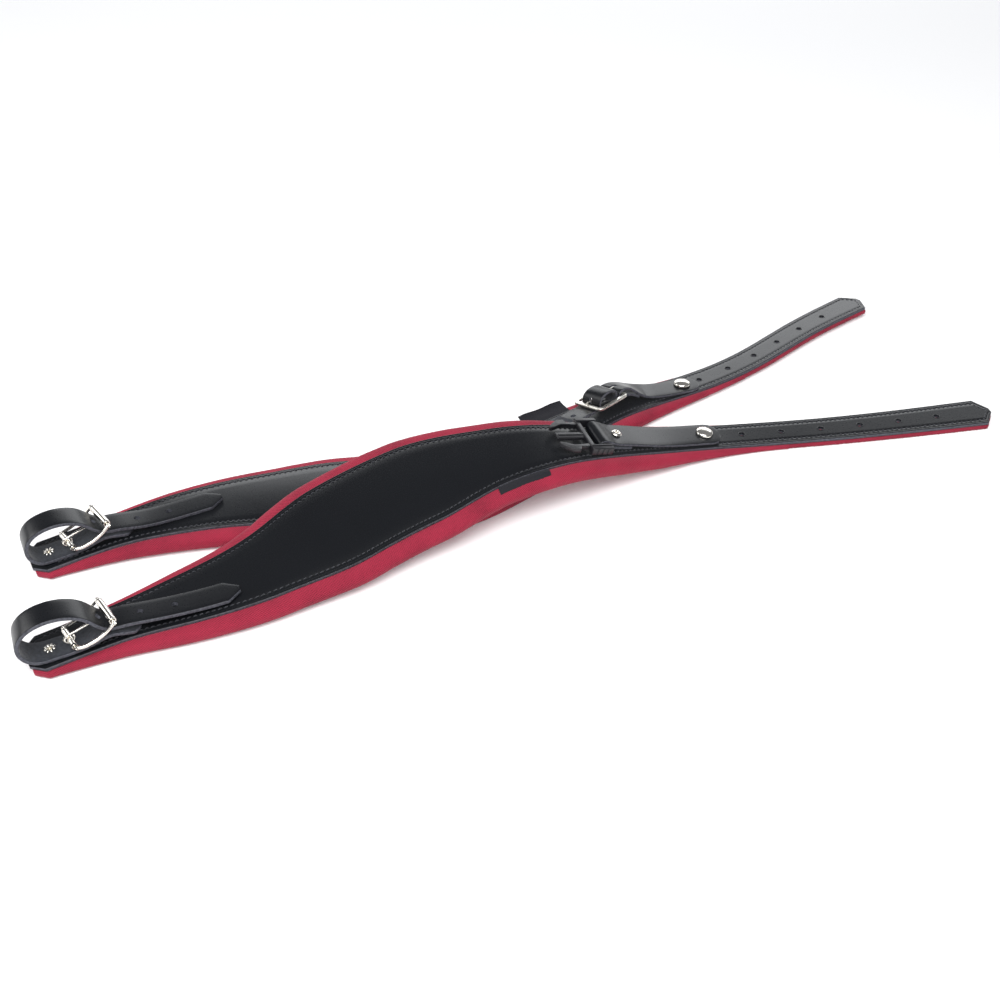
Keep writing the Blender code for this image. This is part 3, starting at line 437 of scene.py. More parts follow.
NAP = {"roughness": 0.85, "grain": (420.0, 6.0, 0.7), "stops": (0.3, 0.72), "relief": (0.6, 0.0004),
       "Specular_IOR_Level": 0.2, "Sheen_Weight": 0.25, "Sheen_Roughness": 0.5}
LEATHER = grain_leather("smooth_black_leather", (0.0036, 0.0042, 0.0056), (0.0060, 0.0068, 0.0086),
                        0.28)
EDGE = fibrous("dyed_leather_edge", (0.024, 0.025, 0.032), (0.095, 0.098, 0.118), 0.62,
               (700.0, 5.0, 0.65), (0.3, 0.7), (0.5, 0.0002), Specular_IOR_Level=0.35)
FLESH = fibrous("leather_flesh_side", (0.009, 0.0105, 0.014), (0.030, 0.034, 0.044), **NAP)
CLOTH = twill("red_twill", (0.060, 0.004, 0.011), (0.345, 0.019, 0.047), 0.00105, 0.00038)
FELT = twill("red_felt_edge", (0.085, 0.005, 0.013), (0.31, 0.019, 0.043), 0.0008, 0.00036)
THREAD = fibrous("black_thread", (0.010, 0.011, 0.014), (0.055, 0.057, 0.068), **NAP)
NICKEL = plated("nickel_plate", (0.80, 0.77, 0.71), 0.14)
SATIN_NICKEL = plated("satin_nickel_plate", (0.72, 0.70, 0.64), 0.26)
PLASTIC = moulding("black_moulding", (0.0085, 0.0085, 0.0105), 0.36)
LABEL = woven_label("black_woven_label", (0.010, 0.010, 0.013))
FOAM = open_foam("pad_foam", (0.45, 0.43, 0.36), (0.78, 0.76, 0.68))
CUT_LEATHER = [LEATHER, EDGE, FLESH]


# ---------------------------------------------------------------- mesh building

def add(name, data, place=None):
    made = bpy.data.objects.new(name, data)
    bpy.context.scene.collection.objects.link(made)
    if place is not None:
        made.matrix_world = place
    return made


def link(name, mesh, materials, place=None):
    for item in materials:
        mesh.materials.append(item)
    return add(name, mesh, place)


def shade(mesh, angle):
    mesh.shade_smooth()
    mesh.set_sharp_from_angle(angle=math.radians(angle))


def mesh_from(name, points, faces):
    mesh = bpy.data.meshes.new(name)
    mesh.from_pydata([tuple(point) for point in points], [], faces)
    return mesh


def evaluated_mesh(obj):
    return bpy.data.meshes.new_from_object(
        obj.evaluated_get(bpy.context.evaluated_depsgraph_get()))


def rework(mesh, *actions):
    """Opens a mesh for editing and runs the actions on it."""
    shape = bmesh.new()
    shape.from_mesh(mesh)
    for action in actions:
        action(shape)
    shape.to_mesh(mesh)
    shape.free()
    return mesh


def weld(shape, reach=1e-6):
    bmesh.ops.remove_doubles(shape, verts=shape.verts, dist=reach)


def loft(name, rings, materials, slots=None, u=None, cap_slot=0, angle=60, place=None, caps=True):
    """Skin over rings of equal size; UVs run in metres along the rings and round each one."""
    rings = np.asarray(rings, float)
    m, k, _ = rings.shape
    steps = np.linalg.norm(np.roll(rings, -1, axis=1) - rings, axis=2)
    v = np.c_[np.zeros(m), np.cumsum(steps, axis=1)]
    v -= v[:, -1:] / 2
    u = run_length(rings.mean(axis=1)) if u is None else u
    slots = slots or [0] * k
    faces, corners, indices = [], [], []
    for i in range(m - 1):
        for j in range(k):
            here, j2 = i * k, (j + 1) % k
            faces.append((here + j, here + j2, here + k + j2, here + k + j))
            corners.append([(u[i], v[i][j]), (u[i], v[i][j + 1]), (u[i + 1], v[i + 1][j + 1]),
                            (u[i + 1], v[i + 1][j])])
            indices.append(slots[j])
    if caps:
        for i, order in ((0, range(k - 1, -1, -1)), (m - 1, range(k))):
            faces.append([i * k + j for j in order])
            corners.append([(u[i] + 0.3 * v[i][j], v[i][j]) for j in order])
            indices.append(cap_slot)
    points = rings.reshape(-1, 3)
    if volume(points, faces) < 0:
        faces = [tuple(face)[::-1] for face in faces]
        corners = [corner[::-1] for corner in corners]
    mesh = mesh_from(name, points.tolist(), faces)
    mesh.polygons.foreach_set("material_index", indices)
    layer = mesh.uv_layers.new(name="UVMap")
    layer.data.foreach_set("uv", np.concatenate(corners).ravel())
    mesh.validate()
    shade(mesh, angle)
    return link(name, mesh, materials, place)


def volume(points, faces):
    total = 0.0
    for face in faces:
        if len(face) == 4:
            a, b, c, d = (points[i] for i in face)
            total += a @ np.cross(b, c) + a @ np.cross(c, d)
    return total


def combine(obj, helpers, operation, angle=48):
    """Boolean with helper objects, which are removed afterwards."""
    for helper in helpers:
        boolean = obj.modifiers.new(helper.name, "BOOLEAN")
        boolean.operation = operation
        boolean.object = helper
    mesh = evaluated_mesh(obj)
    obj.modifiers.clear()
    obj.data = mesh
    shade(mesh, angle)
    for helper in helpers:
        bpy.data.objects.remove(helper, do_unlink=True)


def punch(obj, places, depth, slot=1, angle=48):
    """Round holes whose walls take the given material slot."""
    def pins(shape):
        for place in places:
            bmesh.ops.create_cone(shape, cap_ends=True, segments=40, radius1=HOLE_RADIUS,
                                  radius2=HOLE_RADIUS, depth=depth, matrix=place)
        for face in shape.faces:
            face.material_index = slot

    mesh = rework(bpy.data.meshes.new("punch"), pins)
    combine(obj, [link("punch", mesh, list(obj.data.materials))], "DIFFERENCE", angle)


def turned(name, outline, metal, place, steps=64):
    """Solid of revolution about local Z from (radius, height) pairs, top to bottom."""
    k = len(outline)
    spins = [2 * math.pi * i / steps for i in range(steps)]
    points = [(r * math.cos(a), r * math.sin(a), z) for a in spins for r, z in outline]
    faces = []
    for i in range(steps):
        here, there = i * k, (i + 1) % steps * k
        for j in range(k - 1 if outline[0][0] == 0 else k):
            j2 = (j + 1) % k
            faces.append((here + j, here + j2, there + j2, there + j))
    mesh = rework(mesh_from(name, points, faces), weld,
                  lambda shape: bmesh.ops.recalc_face_normals(shape, faces=shape.faces))
    shade(mesh, 50)
    return link(name, mesh, [metal], place)


def tube(name, points, radii, metal, place=None, cyclic=False, sides=20):
    """Round rod along points; radii is one number or one per point."""
    points = np.asarray(points, float)
    ahead = np.roll(points, -1, axis=0) - points
    behind = points - np.roll(points, 1, axis=0)
    if not cyclic:
        ahead[-1], behind[0] = behind[-1], ahead[0]
    tangents = unit(unit(ahead) + unit(behind))
    side = np.cross(tangents[0], (0.3, 0.2, 0.93))
    angles = [2 * math.pi * i / sides for i in range(sides)]
    rings = []
    for point, tangent, radius in zip(points, tangents, np.broadcast_to(radii, len(points))):
        side = unit(side - tangent * (side @ tangent))
        up = np.cross(tangent, side)
        rings.append([point + radius * (side * math.cos(a) + up * math.sin(a)) for a in angles])
    if cyclic:
        start, last = np.array(rings[0]), np.array(rings[-1])
        gaps = [np.abs(np.roll(start, -i, axis=0) - last).sum() for i in range(sides)]
        rings.append(np.roll(start, -int(np.argmin(gaps)), axis=0))
    made = loft(name, rings, [metal], place=place, caps=not cyclic)
    if cyclic:
        rework(made.data, weld)
    return made


def smooth_path(points, steps=6, cyclic=False, straight=()):
    """Catmull-Rom path through points; the segments named in straight stay straight."""
    points = [np.asarray(p, float) for p in points]
    count = len(points)
    path = []
    for i in range(count if cyclic else count - 1):
        a, b = points[i], points[(i + 1) % count]
        before = points[i - 1] if cyclic or i else a
        after = points[(i + 2) % count] if cyclic or i + 2 < count else b
        for j in range(steps):
            u = j / steps
            if i in straight:
                path.append(a + (b - a) * u)
                continue
            p = 2 * a + (b - before) * u + (2 * before - 5 * a + 4 * b - after) * u**2
            path.append((p + (3 * a - before - 3 * b + after) * u**3) / 2)
    if not cyclic:
        path.append(points[-1])
    return np.array(path)


def rounded_box(name, x, y, z, radius, place, finish=PLASTIC, segments=3):
    """Box between pairs of x, y and z; these and the radius are in millimetres."""
    def cut(shape):
        bmesh.ops.create_cube(shape, size=1.0)
        for vertex in shape.verts:
            vertex.co = [(low + (high - low) * (c + 0.5)) * MM
                         for (low, high), c in zip((x, y, z), vertex.co)]
        bmesh.ops.bevel(shape, geom=shape.edges[:], offset=radius * MM, segments=segments,
                        profile=0.5, affect="EDGES")

    mesh = rework(bpy.data.meshes.new(name), cut)
    shade(mesh, 40)
    return link(name, mesh, [finish], place)


def plate(name, outlines, thickness, edge, finish, place):
    """Flat piece with rounded edges: the first outline is its rim and the others are holes."""
    curve = bpy.data.curves.new(name, "CURVE")
    curve.dimensions = "2D"
    curve.fill_mode = "BOTH"
    curve.extrude = thickness / 2 - edge
    curve.bevel_depth = edge
    curve.bevel_resolution = 4
    curve.offset = -edge
    for outline in outlines:
        spline = curve.splines.new("POLY")
        spline.points.add(len(outline) - 1)
        for target, point in zip(spline.points, outline):
            target.co = (*point, 0, 1)
        spline.use_cyclic_u = True
    made = add(name, curve, place)
    bpy.context.view_layer.update()
    mesh = evaluated_mesh(made)
    bpy.data.objects.remove(made, do_unlink=True)
    mesh.materials.clear()
    rework(mesh, lambda shape: weld(shape, 2e-6))
    shade(mesh, 45)
    return link(name, mesh, [finish], place)


def join(target, others):
    """Adds the others' faces to the target's mesh; all share one placement."""
    for other in others:
        rework(target.data, lambda shape: shape.from_mesh(other.data))
        bpy.data.objects.remove(other, do_unlink=True)


def settle(piece, body, slot, *nodes):
    """Rides on a body and stands for CAD nodes; the slot argument is not used."""
    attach(piece, body)
    if nodes:
        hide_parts(*nodes)


# ---------------------------------------------------------------- leather bodies and stitching

CREASE = (0.0016, 0.00010, 0.00040)
SEAM = (0.0038, 0.00022, 0.00080)
# Burnished lip pressed round a punched hole.
RIM = [(HOLE_RADIUS + r, z) for r, z in (
    (0.0009, -0.00002), (0.00055, 0.00016), (0.0002, 0.00014), (-0.00006, -0.00012),
    (-0.00008, -0.0009), (0.0002, -0.0009), (0.0009, -0.0003))]


def leather_half(side, s):
    left = ROUTE[side].length - s
    toe = 0.52 + 0.48 * min(1.0, s / CUT_END)
    tail = 0.18 + 0.82 * min(1.0, left / CUT_END)
    return half_width(s) * min(toe, tail)


def leather_top(side, s, t):
    """Height of the leather's face above the route, crowned over the pad."""
    w = leather_half(side, s)
    return TOP + crown(s) * (1 - min(1.0, (t / w) ** 2))


def body_section(side, s):
    """Section of the leather body with a creased line and a stitch channel at both edges."""
    w = leather_half(side, s)
    fit = min(1.0, w / 0.0070)
    right = []
    for inset, depth, half in (SEAM, CREASE):
        centre = w - inset * fit
        for share, sink in ((-1, 0), (-0.5, 0.6), (0, 1), (0.5, 0.6), (1, 0)):
            right.append((centre + share * half * fit, -sink * depth * fit))
    top = [(-t, n) for t, n in right[::-1]]
    inner = w - (SEAM[0] + SEAM[2]) * fit
    top += [(inner * k, 0.0) for k in (-0.75, -0.5, -0.25, 0, 0.25, 0.5, 0.75)]
    top += right
    top = [(t, leather_top(side, s, t) + n) for t, n in top]
    radius, ease = 0.00055, 0.0002
    section = arc((radius - w, TOP - radius), radius, 180, 90, 5) + top
    section += arc((w - radius, TOP - radius), radius, 90, 0, 5)
    section += [(w, UNDERSIDE + ease), (w - ease, UNDERSIDE), (w / 2, UNDERSIDE), (0, UNDERSIDE),
                (-w / 2, UNDERSIDE), (ease - w, UNDERSIDE), (-w, UNDERSIDE + ease)]
    return section, [1] * 3 + [0] * (len(top) + 4) + [1] * 4 + [2] * 5 + [1]


def leather_body(side):
    route, holes = ROUTE[side], TAIL_HOLES[side]
    along = set(np.round(stations(0, route.length, 0.0019), 5))
    along |= {CUT_END, round(route.length - CUT_END, 5), round(route.length, 5)}
    for at in [*holes, SNAP_AT[side]]:
        along |= set(np.round(np.linspace(at - 0.0032, at + 0.0032, 9), 5))
    rings = []
    for s in np.minimum(sorted(along), route.length):
        section, slots = body_section(side, s)
        rings.append(route.ring(s, section))
    body = loft(f"{side}_body", rings, CUT_LEATHER, slots, cap_slot=1, angle=42)
    punch(body, [*(route.matrix(s) for s in holes), snap_place(side), rivet_place(side)], 0.012,
          angle=42)
    settle(body, f"{side}_strap", "black_leather", f"{side}_leather_body")
    for i, s in enumerate(holes):
        rim = turned(f"{side}_hole_rim_{i + 1}", RIM, LEATHER, route.matrix(s, 0, TOP), steps=40)
        settle(rim, f"{side}_strap", "black_leather")


def outline_path(side, inset):
    """Dense (s, t) points that follow the leather's outline at an inset, tail end included."""
    length = ROUTE[side].length
    along = np.r_[np.linspace(0.012, length - CUT_END, 420),
                  np.linspace(length - CUT_END, length, 30)]
    upper = [(s, -leather_half(side, s)) for s in along]
    outline = np.array(upper + [(s, -t) for s, t in upper[::-1]])
    tangent = np.gradient(outline, axis=0)
    tangent /= np.linalg.norm(tangent, axis=1)[:, None] + 1e-12
    inner = outline + inset * np.c_[-tangent[:, 1], tangent[:, 0]]
    gaps = np.linalg.norm(inner[:, None] - outline[None], axis=2).min(axis=1)
    return inner[gaps > inset * 0.985]


def stitching(side):
    """Separate thread stitches down both edges and round the tail's point."""
    route = ROUTE[side]
    path = outline_path(side, SEAM[0])
    length = run_length(path)
    pitch, thread, skew, radius, sides, steps = 0.0036, 0.0026, 0.00022, 0.00040, 6, 6
    points, faces = [], []
    for i in range(int(length[-1] / pitch)):
        ends = []
        for way in (1, -1):
            at = (i + 0.5) * pitch + way * thread / 2
            s, t = (np.interp(at, length, path[:, k]) for k in (0, 1))
            t += way * skew
            ends.insert(0, route.point(s, t, leather_top(side, s, t) - SEAM[1]))
        out = Vector(route.axes(s)[3])
        under_socket = side == "far" and SOCKET_SPAN[0] < s < SOCKET_SPAN[1]
        sunk = 0.00105 if under_socket else 0.00036
        across = (ends[1] - ends[0]).normalized().cross(out)
        base = len(points)
        for j in range(steps + 1):
            arch = math.sin(math.pi * j / steps)
            centre = ends[0].lerp(ends[1], j / steps) + out * (0.00068 * arch**0.6 - sunk)
            swell = radius * (0.72 + 0.28 * arch)
            for k in range(sides):
                q = 2 * math.pi * k / sides
                points.append(centre + across * (swell * math.cos(q)) + out * (swell * math.sin(q)))
        for j in range(base, base + steps * sides, sides):
            for k in range(sides):
                k2 = (k + 1) % sides
                faces.append((j + k, j + k2, j + sides + k2, j + sides + k))
        faces.append([base + k for k in range(sides - 1, -1, -1)])
        faces.append([base + steps * sides + k for k in range(sides)])
    mesh = mesh_from(f"{side}_stitching", points, faces)
    mesh.shade_smooth()
    settle(link(f"{side}_stitching", mesh, [THREAD]), f"{side}_strap", "black_leather")


# ---------------------------------------------------------------- padded undersides

def cloth_profile(side, s, inset=0.0):
    """Half section of the pad from the leather's edge round to the middle of the underside."""
    w, reach, depth = leather_half(side, s), pad_reach(s), pad_depth(s)
    rise = 0.0009 * min(1.0, reach / 0.004)
    high, low = rise - inset, inset - depth
    points = []
    for i in range(23):
        a = math.radians(90 - 180 * i / 22)
        c, q = math.cos(a), math.sin(a)
        t = (reach + 0.0002) * abs(c) ** 0.80 - inset * abs(c)
        n = (high + low) / 2 + (high - low) / 2 * math.copysign(abs(q) ** 0.86, q)
        points.append((w + 0.0004 - inset * (1 - abs(c)) * 0.3 + t, n))
    points += [(w * k, low) for k in (0.80, 0.60, 0.40, 0.20)]
    return points


def puff(side, s, t, index):
    """Unevenness of the stuffed cloth: slow waves, and puckers close to the seam."""
    wave = noise.noise(Vector((s * 26, t * 30 + (4.1 if side == "far" else 0.0), 0.7)))
    fine = noise.noise(Vector((s * 95, t * 60, 3.3)))
    near_seam = math.exp(-((index - 2) / 3.2) ** 2)
    pucker = math.cos(2 * math.pi * s / 0.0034) * near_seam
    size = min(1.0, pad_reach(s) / 0.007)
    return (0.00042 * wave + 0.00012 * fine + 0.00010 * pucker) * size


def cover_section(side, s, inset=0.0):
    """Whole section of the cover's skin, from the left hem round below to the right hem."""
    right = cloth_profile(side, s, inset)
    w = leather_half(side, s)
    hem = [(w - HEM, -0.00014 - inset), (w - 0.0012, -0.00014 - inset), (w - 0.0001, -inset)]
    shaped = []
    for sign in (1, -1):
        shaped.append([(sign * t, n) for t, n in hem])
        for i, (t, n) in enumerate(right):
            swell = puff(side, s, sign * t, i) if i < 23 else 0.0
            shaped[-1].append((sign * (t + swell * 0.9), n + swell * (0.3 if i < 11 else -0.06)))
    return shaped[1] + [(0.0, inset - pad_depth(s))] + shaped[0][::-1]


def pad_cover(side):
    along = stations(0.001, PAD_END, 0.00095)
    rings = [ROUTE[side].ring(s, cover_section(side, s) + cover_section(side, s, 0.0009)[::3][::-1])
             for s in along]
    cover = loft(f"{side}_pad", rings, [CLOTH], u=along)
    settle(cover, f"{side}_strap", "red_cloth", f"{side}_pad_cover")


def foam_core(side):
    rings = [ROUTE[side].ring(s, cover_section(side, s, 0.0016)[2:-2])
             for s in stations(0.020, CORE_END, 0.006)]
    core = loft(f"{side}_foam", rings, [FOAM])
    settle(core, f"{side}_strap", "foam", f"{side}_foam_core")


def tail_lining(side):
    """Felted cloth under the tail: its cut edge is a little ragged."""
    route = ROUTE[side]
    rings, along = [], stations(PAD_END + 0.0003, route.length, 0.0011)
    for s in along:
        w, low, reach = leather_half(side, s), -pad_depth(s), pad_reach(s)
        rag = [0.00045 * noise.noise(Vector((s * 900, k * 7.7, 1.1))) for k in range(5)]
        right = [(w - 0.0020, -0.0001), (w + 0.0001, -0.00012),
                 (w + reach * 0.8 + rag[0], -0.0004), (w + reach + rag[1], low * 0.35),
                 (w + reach + rag[2], low * 0.65), (w + reach * 0.6 + rag[3], low + 0.0002),
                 (w - 0.0010, low)]
        left = [(-t + (0.6 * rag[4] if 1 < j < 6 else 0), n) for j, (t, n) in enumerate(right)]
        section = left + [(-w / 2, low), (0, low), (w / 2, low)] + right[::-1]
        section += [(w / 2, -0.0001), (0, -0.0001), (-w / 2, -0.0001)]
        rings.append(route.ring(s, section))
    lining = loft(f"{side}_lining", rings, [FELT], u=along)
    punch(lining, [route.matrix(s) for s in TAIL_HOLES[side][2:]], 0.012, slot=0, angle=60)
    settle(lining, f"{side}_strap", "red_cloth", f"{side}_tail_lining")


# ---------------------------------------------------------------- adjusting belts

def belt_plan(side, run, across=0.0):
    x, y, bearing = BELT_PLANE[side]
    way = direction(bearing)
    return x + run * way[0] + across * way[1], y + run * way[1] - across * way[0]


def belt_ground(side):
    runs = (-0.03, -0.004, 0.02, 0.045, 0.07, 0.095, 0.12)
    heights = [ROUTE[side].top_height(*belt_plan(side, max(run, 0))) for run in runs]
    return natural_spline(runs, heights)


GROUND = {side: belt_ground(side) for side in ROUTE}


def belt_place(side, run, across, height):
    return Vector((*belt_plan(side, run, across), GROUND[side](run)[0] + height))


def rivet_place(side):
    route = ROUTE[side]
    x, y, _ = BELT_PLANE[side]
    s = route.nearest(x, y)
    origin, _, across, _ = route.axes(s)
    return route.matrix(s, (np.array((x, y)) - origin[:2]) @ across[:2])


def strip_section(half, thickness):
    """Section of a cut leather strip: (across, out) pairs with eased corners, and slots."""
    r, bow = min(0.00052, half * 0.4), 0.0001
    h, t, n = thickness / 2, half - r, thickness / 2 - r
    section = arc((-t, n), r, 180, 90, 5)
    section += [(half * k, h + bow * (1 - k * k)) for k in (-0.6, -0.2, 0.2, 0.6)]
    section += arc((t, n), r, 90, 0, 5) + arc((t, -n), r, 0, -90, 5)
    section += [(half * k, -h) for k in (0.6, 0.2, -0.2, -0.6)] + arc((-t, -n), r, -90, -180, 5)
    return section, [1] * 2 + [0] * 9 + [1] * 5 + [2] * 8 + [1] * 4


def strip(name, stops, thickness):
    """A leather strip, grain side outward, through (place, tangent, across, half width) stops."""
    rings = []
    for place, tangent, across, half in stops:
        out = across.cross(tangent).normalized()
        section, slots = strip_section(half, thickness)
        rings.append([place + across * a + out * b for a, b in section])
    return loft(name, rings, CUT_LEATHER, slots, cap_slot=1, angle=48)


def central(curve, u, total):
    """Tangent of a curve at u, from points a little ahead and behind."""
    return Vector((curve(min(u + 1e-4, total)) - curve(max(u - 1e-4, 0)))[:3]).normalized()


def belt_curve(side):
    points = [belt_place(side, run * MM, 0, height * MM) for run, height in BELT_RUN[side]]
    chord = run_length(points)
    return natural_spline(chord, points), chord[-1]


def belt_hole_place(side, curve, total, run):
    target = belt_plan(side, run)
    choices = np.linspace(0.45 * total, total, 400)
    u = min(choices, key=lambda u: math.dist(curve(u)[:2], target))
    tangent = central(curve, u, total)
    across = tangent.cross(Vector((0, 0, 1))).normalized()
    out = across.cross(tangent)
    return placed(Vector(curve(u)), tangent, out.cross(tangent), out)


def adjusting_belt(side):
    way = direction(BELT_PLANE[side][2])
    across = Vector((way[1], -way[0], 0))
    curve, total = belt_curve(side)
    stops = []
    for u in [0, 0.0012, *stations(0.004, total - 0.009, 0.00125),
              *stations(total - 0.0084, total, 0.0006)]:
        taper = min(1.0, 0.55 + 0.45 * u / 0.004, 0.25 + 0.75 * (total - u) / 0.009)
        stops.append((Vector(curve(u)), central(curve, u, total), across, BELT_HALF * taper))
    belt = strip(f"{side}_belt", stops, BELT_LEATHER)
    punch(belt, [rivet_place(side)], 0.020)
    punch(belt, [belt_hole_place(side, curve, total, run)
                 for run in (BELT_HOLES[side], BELT_HOLES[side] + BELT_PITCH, 0.0285)], 0.006)
    settle(belt, f"{side}_strap", "black_leather", f"{side}_adjusting_belt")


def belt_rivet(side):
    """Hollow rivet whose end is split and rolled outward into petals."""
    top = TOP + 2 * GAP + BELT_LEATHER + 0.0004
    place = rivet_place(side)
    barrel = [(0.0013, top - 0.0003), (0.00150, top), (0.0016, top - 0.0002), (0.0016, 0.0),
              (0.0029, -0.0001), (0.0031, -0.0004), (0.0029, -0.0008), (0.0013, -0.0008)]
    piece = turned(f"{side}_rivet", barrel, NICKEL, place)
    # Radius, height and half angle along a petal.
    stops = ((0.00135, -0.0005, 0.312), (0.00155, 0.0002, 0.2964), (0.0019, 0.0006, 0.2652),
             (0.0024, 0.00082, 0.234), (0.0029, 0.00075, 0.2106), (0.0034, 0.00044, 0.1716),
             (0.0037, 0.00012, 0.0936))
    petals = []
    for i in range(8):
        spin = math.radians(45 * i + 10)
        rings = []
        for r, z, wide in stops:
            ring = []
            for q in (2 * math.pi * k / 10 for k in range(10)):
                a = spin + wide * math.cos(q)
                ring.append((r * math.cos(a), r * math.sin(a), top + z + 0.00024 * math.sin(q)))
            rings.append(ring)
        petals.append(loft(f"petal_{i}", rings, [NICKEL], place=place))
    join(piece, petals)
    settle(piece, f"{side}_strap", "nickel", f"{side}_belt_rivet")


def buckle_point(side, run, across, height):
    (c, q), ahead = direction(BUCKLE_TURN), run - BUCKLE_MIDDLE
    return belt_place(side, BUCKLE_MIDDLE + ahead * c + across * q, across * c - ahead * q, height)


def axle(side, where):
    heading = math.radians(BELT_PLANE[side][2] + BUCKLE_TURN)
    spin = Matrix.Rotation(heading, 4, "Z") @ Matrix.Rotation(math.pi / 2, 4, "X")
    centre = [buckle_point(side, where[0], across, where[1]) for across in (0.01, -0.01)]
    return Matrix.Translation((centre[0] + centre[1]) / 2) @ spin


def wire_prong(name, points, ends, metal, place):
    """Round prong in a plane; ends are the shares of its radius at the root and at the tip."""
    shares = [ends[0], *[1] * (len(points) - len(ends)), *ends[1:]]
    radii = [PRONG_RADIUS * share for share in shares]
    return tube(name, [(x, y, 0) for x, y in points], radii, metal, place=place, sides=16)


def roller_buckle(side):
    side_wire = [(0.0118, 0.0085), (0.0150, 0.0083), (0.0190, 0.0085), (0.0240, 0.0095),
                 (0.0290, 0.0116), (0.0330, 0.0142), (0.0347, 0.0154)]
    spread = [0.0103, 0.0115, 0.0120, 0.0124, 0.0127, 0.0128, 0.0124]
    near, far = ([buckle_point(side, a, way * b, h) for (a, h), b in zip(side_wire, spread)]
                 for way in (1, -1))
    heel = [axle(side, HEEL_AT) @ Vector((0, 0, b)) for b in (-0.0094, 0.0094)]
    front = [axle(side, ROLLER_AT) @ Vector((0, 0, b)) for b in (0.0115, -0.0115)]
    path = smooth_path([*heel, *near, *front, *far[::-1]], 5, cyclic=True, straight=(0, 9))
    wire = tube(f"{side}_wire", path, WIRE_RADIUS, NICKEL, cyclic=True)
    settle(wire, f"{side}_strap", "nickel", f"{side}_buckle_frame")
    bore, lip, ease = WIRE_RADIUS + GAP, 0.00022, 0.0001
    for label, where, radius, half in (("front_roller", ROLLER_AT, ROLLER_RADIUS, 0.0105),
                                       ("heel_roller", HEEL_AT, HEEL_RADIUS, 0.0085)):
        upper = [(bore, half - lip), (bore + lip, half), (radius - lip, half),
                 (radius - ease, half - ease), (radius, half - lip), (radius, half - 0.0020)]
        outline = [*upper[1:], (radius, 0.0), *((r, -z) for r, z in upper[::-1]), upper[0]]
        roller = turned(f"{side}_{label}_tube", outline, NICKEL, axle(side, where))
        settle(roller, f"{side}_{label}", "nickel", f"{side}_{label}")
    ring, reach, slope = HEEL_RADIUS + GAP + PRONG_RADIUS, 0.0155, 9
    points = arc((0, 0), ring, slope + 90 + 285, slope + 90, 31)
    tip = direction(slope)
    points += [(tip[0] * reach * k - tip[1] * ring, tip[1] * reach * k + tip[0] * ring)
               for k in (0.2, 0.5, 0.8, 0.95, 1.0)]
    prong = wire_prong(f"{side}_tongue", points, (0.7, 0.85, 0.45), NICKEL, axle(side, HEEL_AT))
    settle(prong, f"{side}_prong", "nickel", f"{side}_buckle_prong")


# ---------------------------------------------------------------- labels and snaps

def label(side):
    """Blank woven label folded into the seam, a little wavy along its free edge."""
    route = ROUTE[side]
    start = 0.310 if side == "near" else 0.361
    rings, along = [], stations(start, start + 0.038, 0.0011)
    for s in along:
        w, reach = half_width(s), pad_reach(s)
        ripple = 0.0004 * math.sin((s - start) * 260) + 0.0003 * math.sin((s - start) * 95 + 1)
        if side == "near":
            run = [(w + 0.0002, 0.0013), (w + 0.15 * reach, 0.0017), (w + 0.32 * reach, 0.0015),
                   (w + 0.45 * reach, 0.0009), (w + 0.56 * reach, 0.0001 + ripple * 0.4)]
        else:
            run = [(-w - 0.0003, 0.0012), (-w - 0.0040, 0.0020),
                   (-w - 0.0070, 0.0026 + ripple * 0.3), (-w - 0.0095, 0.0035 + ripple * 0.6),
                   (-w - 0.0118, 0.0048 + ripple)]
        line = smooth_path([(t, n, 0) for t, n in run], 4)[:, :2]
        step = np.gradient(line, axis=0)
        normal = unit(np.c_[-step[:, 1], step[:, 0]]) * 0.00028
        if normal[:, 1].mean() < 0:
            normal = -normal
        rings.append(route.ring(s, np.r_[line - normal, (line + normal)[::-1]]))
    made = loft(f"{side}_tag", rings, [LABEL])
    settle(made, f"{side}_strap", "woven_label", f"{side}_label")


def snap_place(side):
    return ROUTE[side].matrix(SNAP_AT[side], SNAP_SHIFT[side])


def snap(side):
    place = snap_place(side)
    seat = TOP + 0.0009 + TAB_LEATHER + 0.0006
    dome = [(0.0061 * math.sin(math.radians(a)), seat + 0.0007 + 0.0023 * math.cos(math.radians(a)))
            for a in range(0, 91, 6)]
    outline = [*dome, (0.0062, seat + 0.0005), (0.00625, seat + 0.0002), (0.0061, seat),
               (0.0015, seat), (0.0015, TOP - 0.0008), (0.0, TOP - 0.0008)]
    cap = turned(f"{side}_snap_dome", outline, NICKEL, place)
    settle(cap, f"{side}_back_strap", "nickel", f"{side}_snap_cap")
    stud = [(0.0, TOP - 0.0012), (0.0014, TOP - 0.0012), (0.0016, TOP - 0.0014), (0.0016, -0.0002),
            (0.0030, -0.0002), (0.0032, -0.0004), (0.0031, -0.0008), (0.0, -0.0009)]
    piece = turned(f"{side}_snap_post", stud, NICKEL, place)
    settle(piece, f"{side}_strap", "nickel", f"{side}_snap_stud")


# ---------------------------------------------------------------- back straps

def far_belt_course(s):
    run = FRAME_FRONT_AT - s
    bend = FAR_BELT_BEND if run > 0 else 0.0
    slope = FRAME_SLOPE + 2 * bend * run
    return FRAME_SHIFT + FRAME_SLOPE * run + bend * run * run, -math.atan(slope)


def frame_place():
    shift, angle = far_belt_course(FRAME_FRONT_AT)
    tilt = math.asin((FRAME_BACK_N - FRAME_FRONT_N) / FRAME_LENGTH)
    tip, lift = lean("far", FRAME_FRONT_AT)
    place = ROUTE["far"].matrix(FRAME_FRONT_AT, shift, FRAME_FRONT_N + lift, -angle)
    return place @ Matrix.Rotation(-tilt, 4, "Y") @ Matrix.Rotation(-tip, 4, "X")


